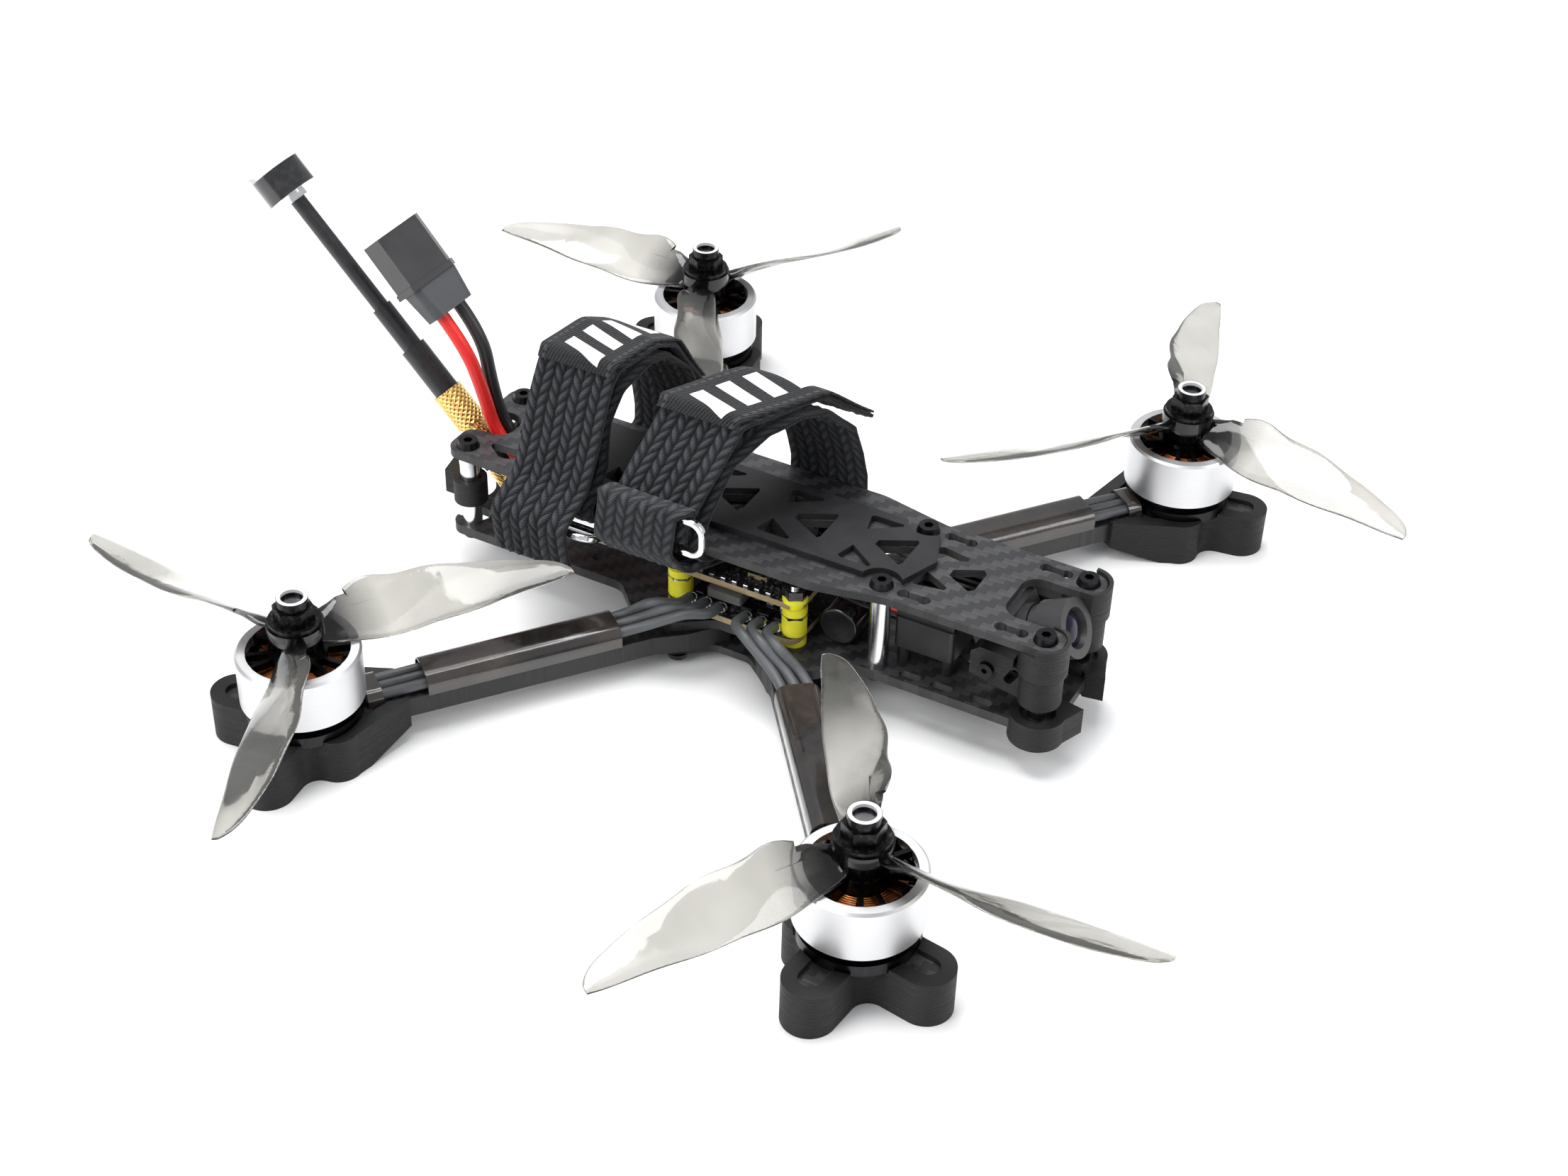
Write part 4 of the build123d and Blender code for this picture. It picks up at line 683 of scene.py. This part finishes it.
def blocks(name, boxes, material, bevel=0.15 * MM):
    """Small boxes with rounded edges, as one piece. Each is (centre, size), in millimetres."""
    made = bmesh.new()
    for centre, size in boxes:
        new = bmesh.ops.create_cube(made, size=1.0)["verts"]
        bmesh.ops.scale(made, vec=Vector(size) * MM, verts=new)
        bmesh.ops.translate(made, vec=frame_place(centre), verts=new)
    bmesh.ops.bevel(made, geom=made.edges, offset=bevel, segments=2, affect="EDGES")
    mesh = bpy.data.meshes.new(name)
    made.to_mesh(mesh)
    made.free()
    return link(name, mesh, material, smooth=False)


def domes(name, places, radius, high, material, turn=None, body="frame"):
    """Low rounded drops, such as solder joints or a lens. places are in millimetres."""
    rings, sides = 7, 24
    made = bmesh.new()
    for place in places:
        start = len(made.verts)
        for k in range(rings):
            a = pi / 2 * k / (rings - 1)
            for j in range(sides):
                b = 2 * pi * j / sides
                made.verts.new((radius * cos(a) * cos(b), radius * cos(a) * sin(b),
                                high * sin(a)))
        made.verts.ensure_lookup_table()
        new = list(made.verts)[start:]
        for k in range(rings - 1):
            for j in range(sides):
                nxt = (j + 1) % sides
                made.faces.new([new[k * sides + j], new[k * sides + nxt],
                                new[(k + 1) * sides + nxt], new[(k + 1) * sides + j]])
        made.faces.new(list(reversed(new[:sides])))
        shift = Matrix.Translation(Vector(place) - Vector((0, AFT / MM, 0)))
        moved = shift @ (turn or Matrix.Identity(4))
        for vertex in new:
            vertex.co = (moved @ vertex.co) * MM
    bmesh.ops.remove_doubles(made, verts=made.verts, dist=0.002 * MM)
    mesh = bpy.data.meshes.new(name)
    made.to_mesh(mesh)
    made.free()
    return link(name, mesh, material, body)


def board_parts(chip, solder, pale, wire_skins):
    """Chips, pads, sockets, solder and wires on the two boards, all in millimetres."""
    chips, pins = [], []
    for s in (1, -1):
        for k in range(6):
            chips.append(((s * 13.2, -10.4 + 4.4 * k, ESC_TOP + 0.55), (3.0, 3.2, 1.1)))
        for k in range(8):
            pins.append(((s * 9.4, -12.5 + 3.6 * k, ESC_TOP + 0.35), (1.1, 1.8, 0.7)))
    for k in range(9):
        chips.append(((-13.6 + 3.3 * k, -9.6 + (k % 3) * 1.2, FC_TOP + 0.45), (2.1, 1.5, 0.9)))
        pins.append(((-13.2 + 3.3 * k, 13.6, FC_TOP + 0.3), (1.2, 2.2, 0.6)))
    for s in (1, -1):
        for k in range(7):
            pins.append(((s * 16.2, -8.4 + 3.0 * k, FC_TOP + 0.25), (1.6, 1.3, 0.5)))
            chips.append(((s * 13.6, -8.0 + 3.0 * k, FC_TOP + 0.35), (1.2, 0.9, 0.7)))
    blocks("board_chips", chips, chip)
    blocks("board_pads", pins, solder, bevel=0.1 * MM)
    side_socket = (4.4, 9.0, 2.8)
    sockets = [((0, -15.4, FC_TOP + 1.4), (9.6, 4.2, 2.8)),
               ((-17.0, 2.0, FC_UNDER), side_socket), ((17.0, -1.0, FC_UNDER), side_socket)]
    blocks("board_sockets", sockets, pale, bevel=0.25 * MM)
    drops = [(s * 16.9, 0.6 + e * (7.4 + s * e * lane * 4.0), ESC_TOP + 0.02)
             for s in (1, -1) for e in (1, -1) for lane in (-1, 0, 1)]
    domes("solder_drops", drops, 1.75, 1.9, solder)
    for k, (x, y) in enumerate(((-11, -14), (-7, -14.5), (7, -14.5), (11, -14))):
        route = [(x, y, 25.4), (x, y - 3.5, 27.0), (x * 0.8, y - 8, 25.5),
                 (x * 0.6, y - 14, 22.5), (x * 0.5, y - 22.4, 21.5)]
        points = [frame_place(place) for place in route]
        wire(f"signal_wire_{k}", points, 0.45 * MM, wire_skins[k % 2])


def dress_cad(gloss):
    """Every CAD node that shows gets its own material. A name that ends in _ stands for a group."""
    black_metal = metal("black_oxide", (0.035, 0.035, 0.037), 0.32, (1, 1, 1), 800, 0.02)
    dressings = (
        (carbon(), "main_plate brace_plate top_plate arm_"),
        (printed_rubber(), "foot_ camera_mounts nose_bumpers antenna_holder"),
        (metal("bright_steel", (0.80, 0.80, 0.82), 0.12), "stack_screws bearings magnets_"),
        (metal("polished_alloy", (0.88, 0.88, 0.89), 0.10), "standoffs"),
        (black_metal, "frame_screws motor_screws camera_screws motor_bases"),
        (plastic("yellow_rubber", (0.70, 0.66, 0.02), 0.5, lighter=1.15), "grommets"),
        (plastic("black_moulding", (0.011, 0.011, 0.012), 0.42, 2200, 0.03),
         "video_transmitter camera_body camera_lens"),
        (gloss, "capacitor"),
        (plastic("cap_grey", (0.040, 0.042, 0.046), 0.5, 2600, 0.03, 1.35), "plug_cap"),
        (plastic("plug_black", (0.014, 0.014, 0.015), 0.36, 2600, 0.025), "power_plug"),
        (knurled_gold(), "sma_socket plug_pins"),
        (shrink_tube(), "arm_sleeves"), (deck_rubber(), "battery_pad"),
        (bell_metal(), "bell_"), (copper_wire(), "coils"),
        (metal("laminations", (0.05, 0.055, 0.05), 0.4, (1, 1, 400), 60, 0.05), "stator_cores"),
        (smoke_plastic(), "prop_"), (lock_nut(), "prop_nut_"),
        (plastic("grey_silicone", (0.055, 0.058, 0.062), 0.5, 900, 0.02, 1.4), "motor_leads"),
        (circuit_board(), "esc_board flight_controller"),
        (antenna_skin(), "antenna"), (head_skin(), "antenna_head"),
        (metal("chrome_wire", (0.86, 0.86, 0.87), 0.06), "strap_buckles"),
    )
    skins = {key: material for material, keys in dressings for key in keys.split()}
    for name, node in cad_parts.items():
        fitting = [key for key in skins
                   if name == key or (key.endswith("_") and name.startswith(key))]
        if not fitting:
            continue
        node.data.materials.clear()
        node.data.materials.append(skins[max(fitting, key=len)])


def camera_glass():
    """The curved front element, seen inside the barrel's ring."""
    out = Vector((0, -cos(CAMERA_TILT), sin(CAMERA_TILT)))
    place = Vector(CAMERA_PIVOT) + out * GLASS_OUT
    turn = out.to_track_quat("Z", "Y").to_matrix().to_4x4()
    domes("camera_glass", [tuple(place)], GLASS_RADIUS, GLASS_HIGH, lens_glass(), turn,
          "camera")


def lay_paper():
    """The white ground, which reaches past every view."""
    reach = 3.0
    mesh = bpy.data.meshes.new("floor")
    corners = [(-reach, -reach, 0), (reach, -reach, 0), (reach, reach, 0), (-reach, reach, 0)]
    mesh.from_pydata(corners, [], [(0, 1, 2, 3)])
    floor = bpy.data.objects.new("floor", mesh)
    bpy.context.collection.objects.link(floor)
    s = Surface("paper", Specular_IOR_Level=0.1, Roughness=0.85)
    s.set(Base_Color=s.blend(s.noise(3.0, detail=2), (0.90, 0.90, 0.90), (0.92, 0.92, 0.92)))
    mesh.materials.append(s.material)


aim_camera()
light_studio()

red_silicone = plastic("red_silicone", (0.62, 0.012, 0.008), 0.38, 700, 0.02, 1.15)
black_silicone = plastic("black_silicone", BLACK, 0.40, 700, 0.02)
power_leads(red_silicone, black_silicone)

black_gloss = plastic("black_gloss", (0.006, 0.006, 0.007), 0.16, 1200, 0.004, coat=0.4)
dress_cad(black_gloss)
straps(webbing(), label_cloth())
solder = metal("solder", (0.72, 0.72, 0.74), 0.25, (1, 1, 1), 500, 0.03)
socket_plastic = plastic("socket_plastic", (0.035, 0.034, 0.030), 0.5, 900, 0.02, 1.2)
board_parts(black_gloss, solder, socket_plastic, (black_silicone, red_silicone))
camera_glass()
lay_paper()
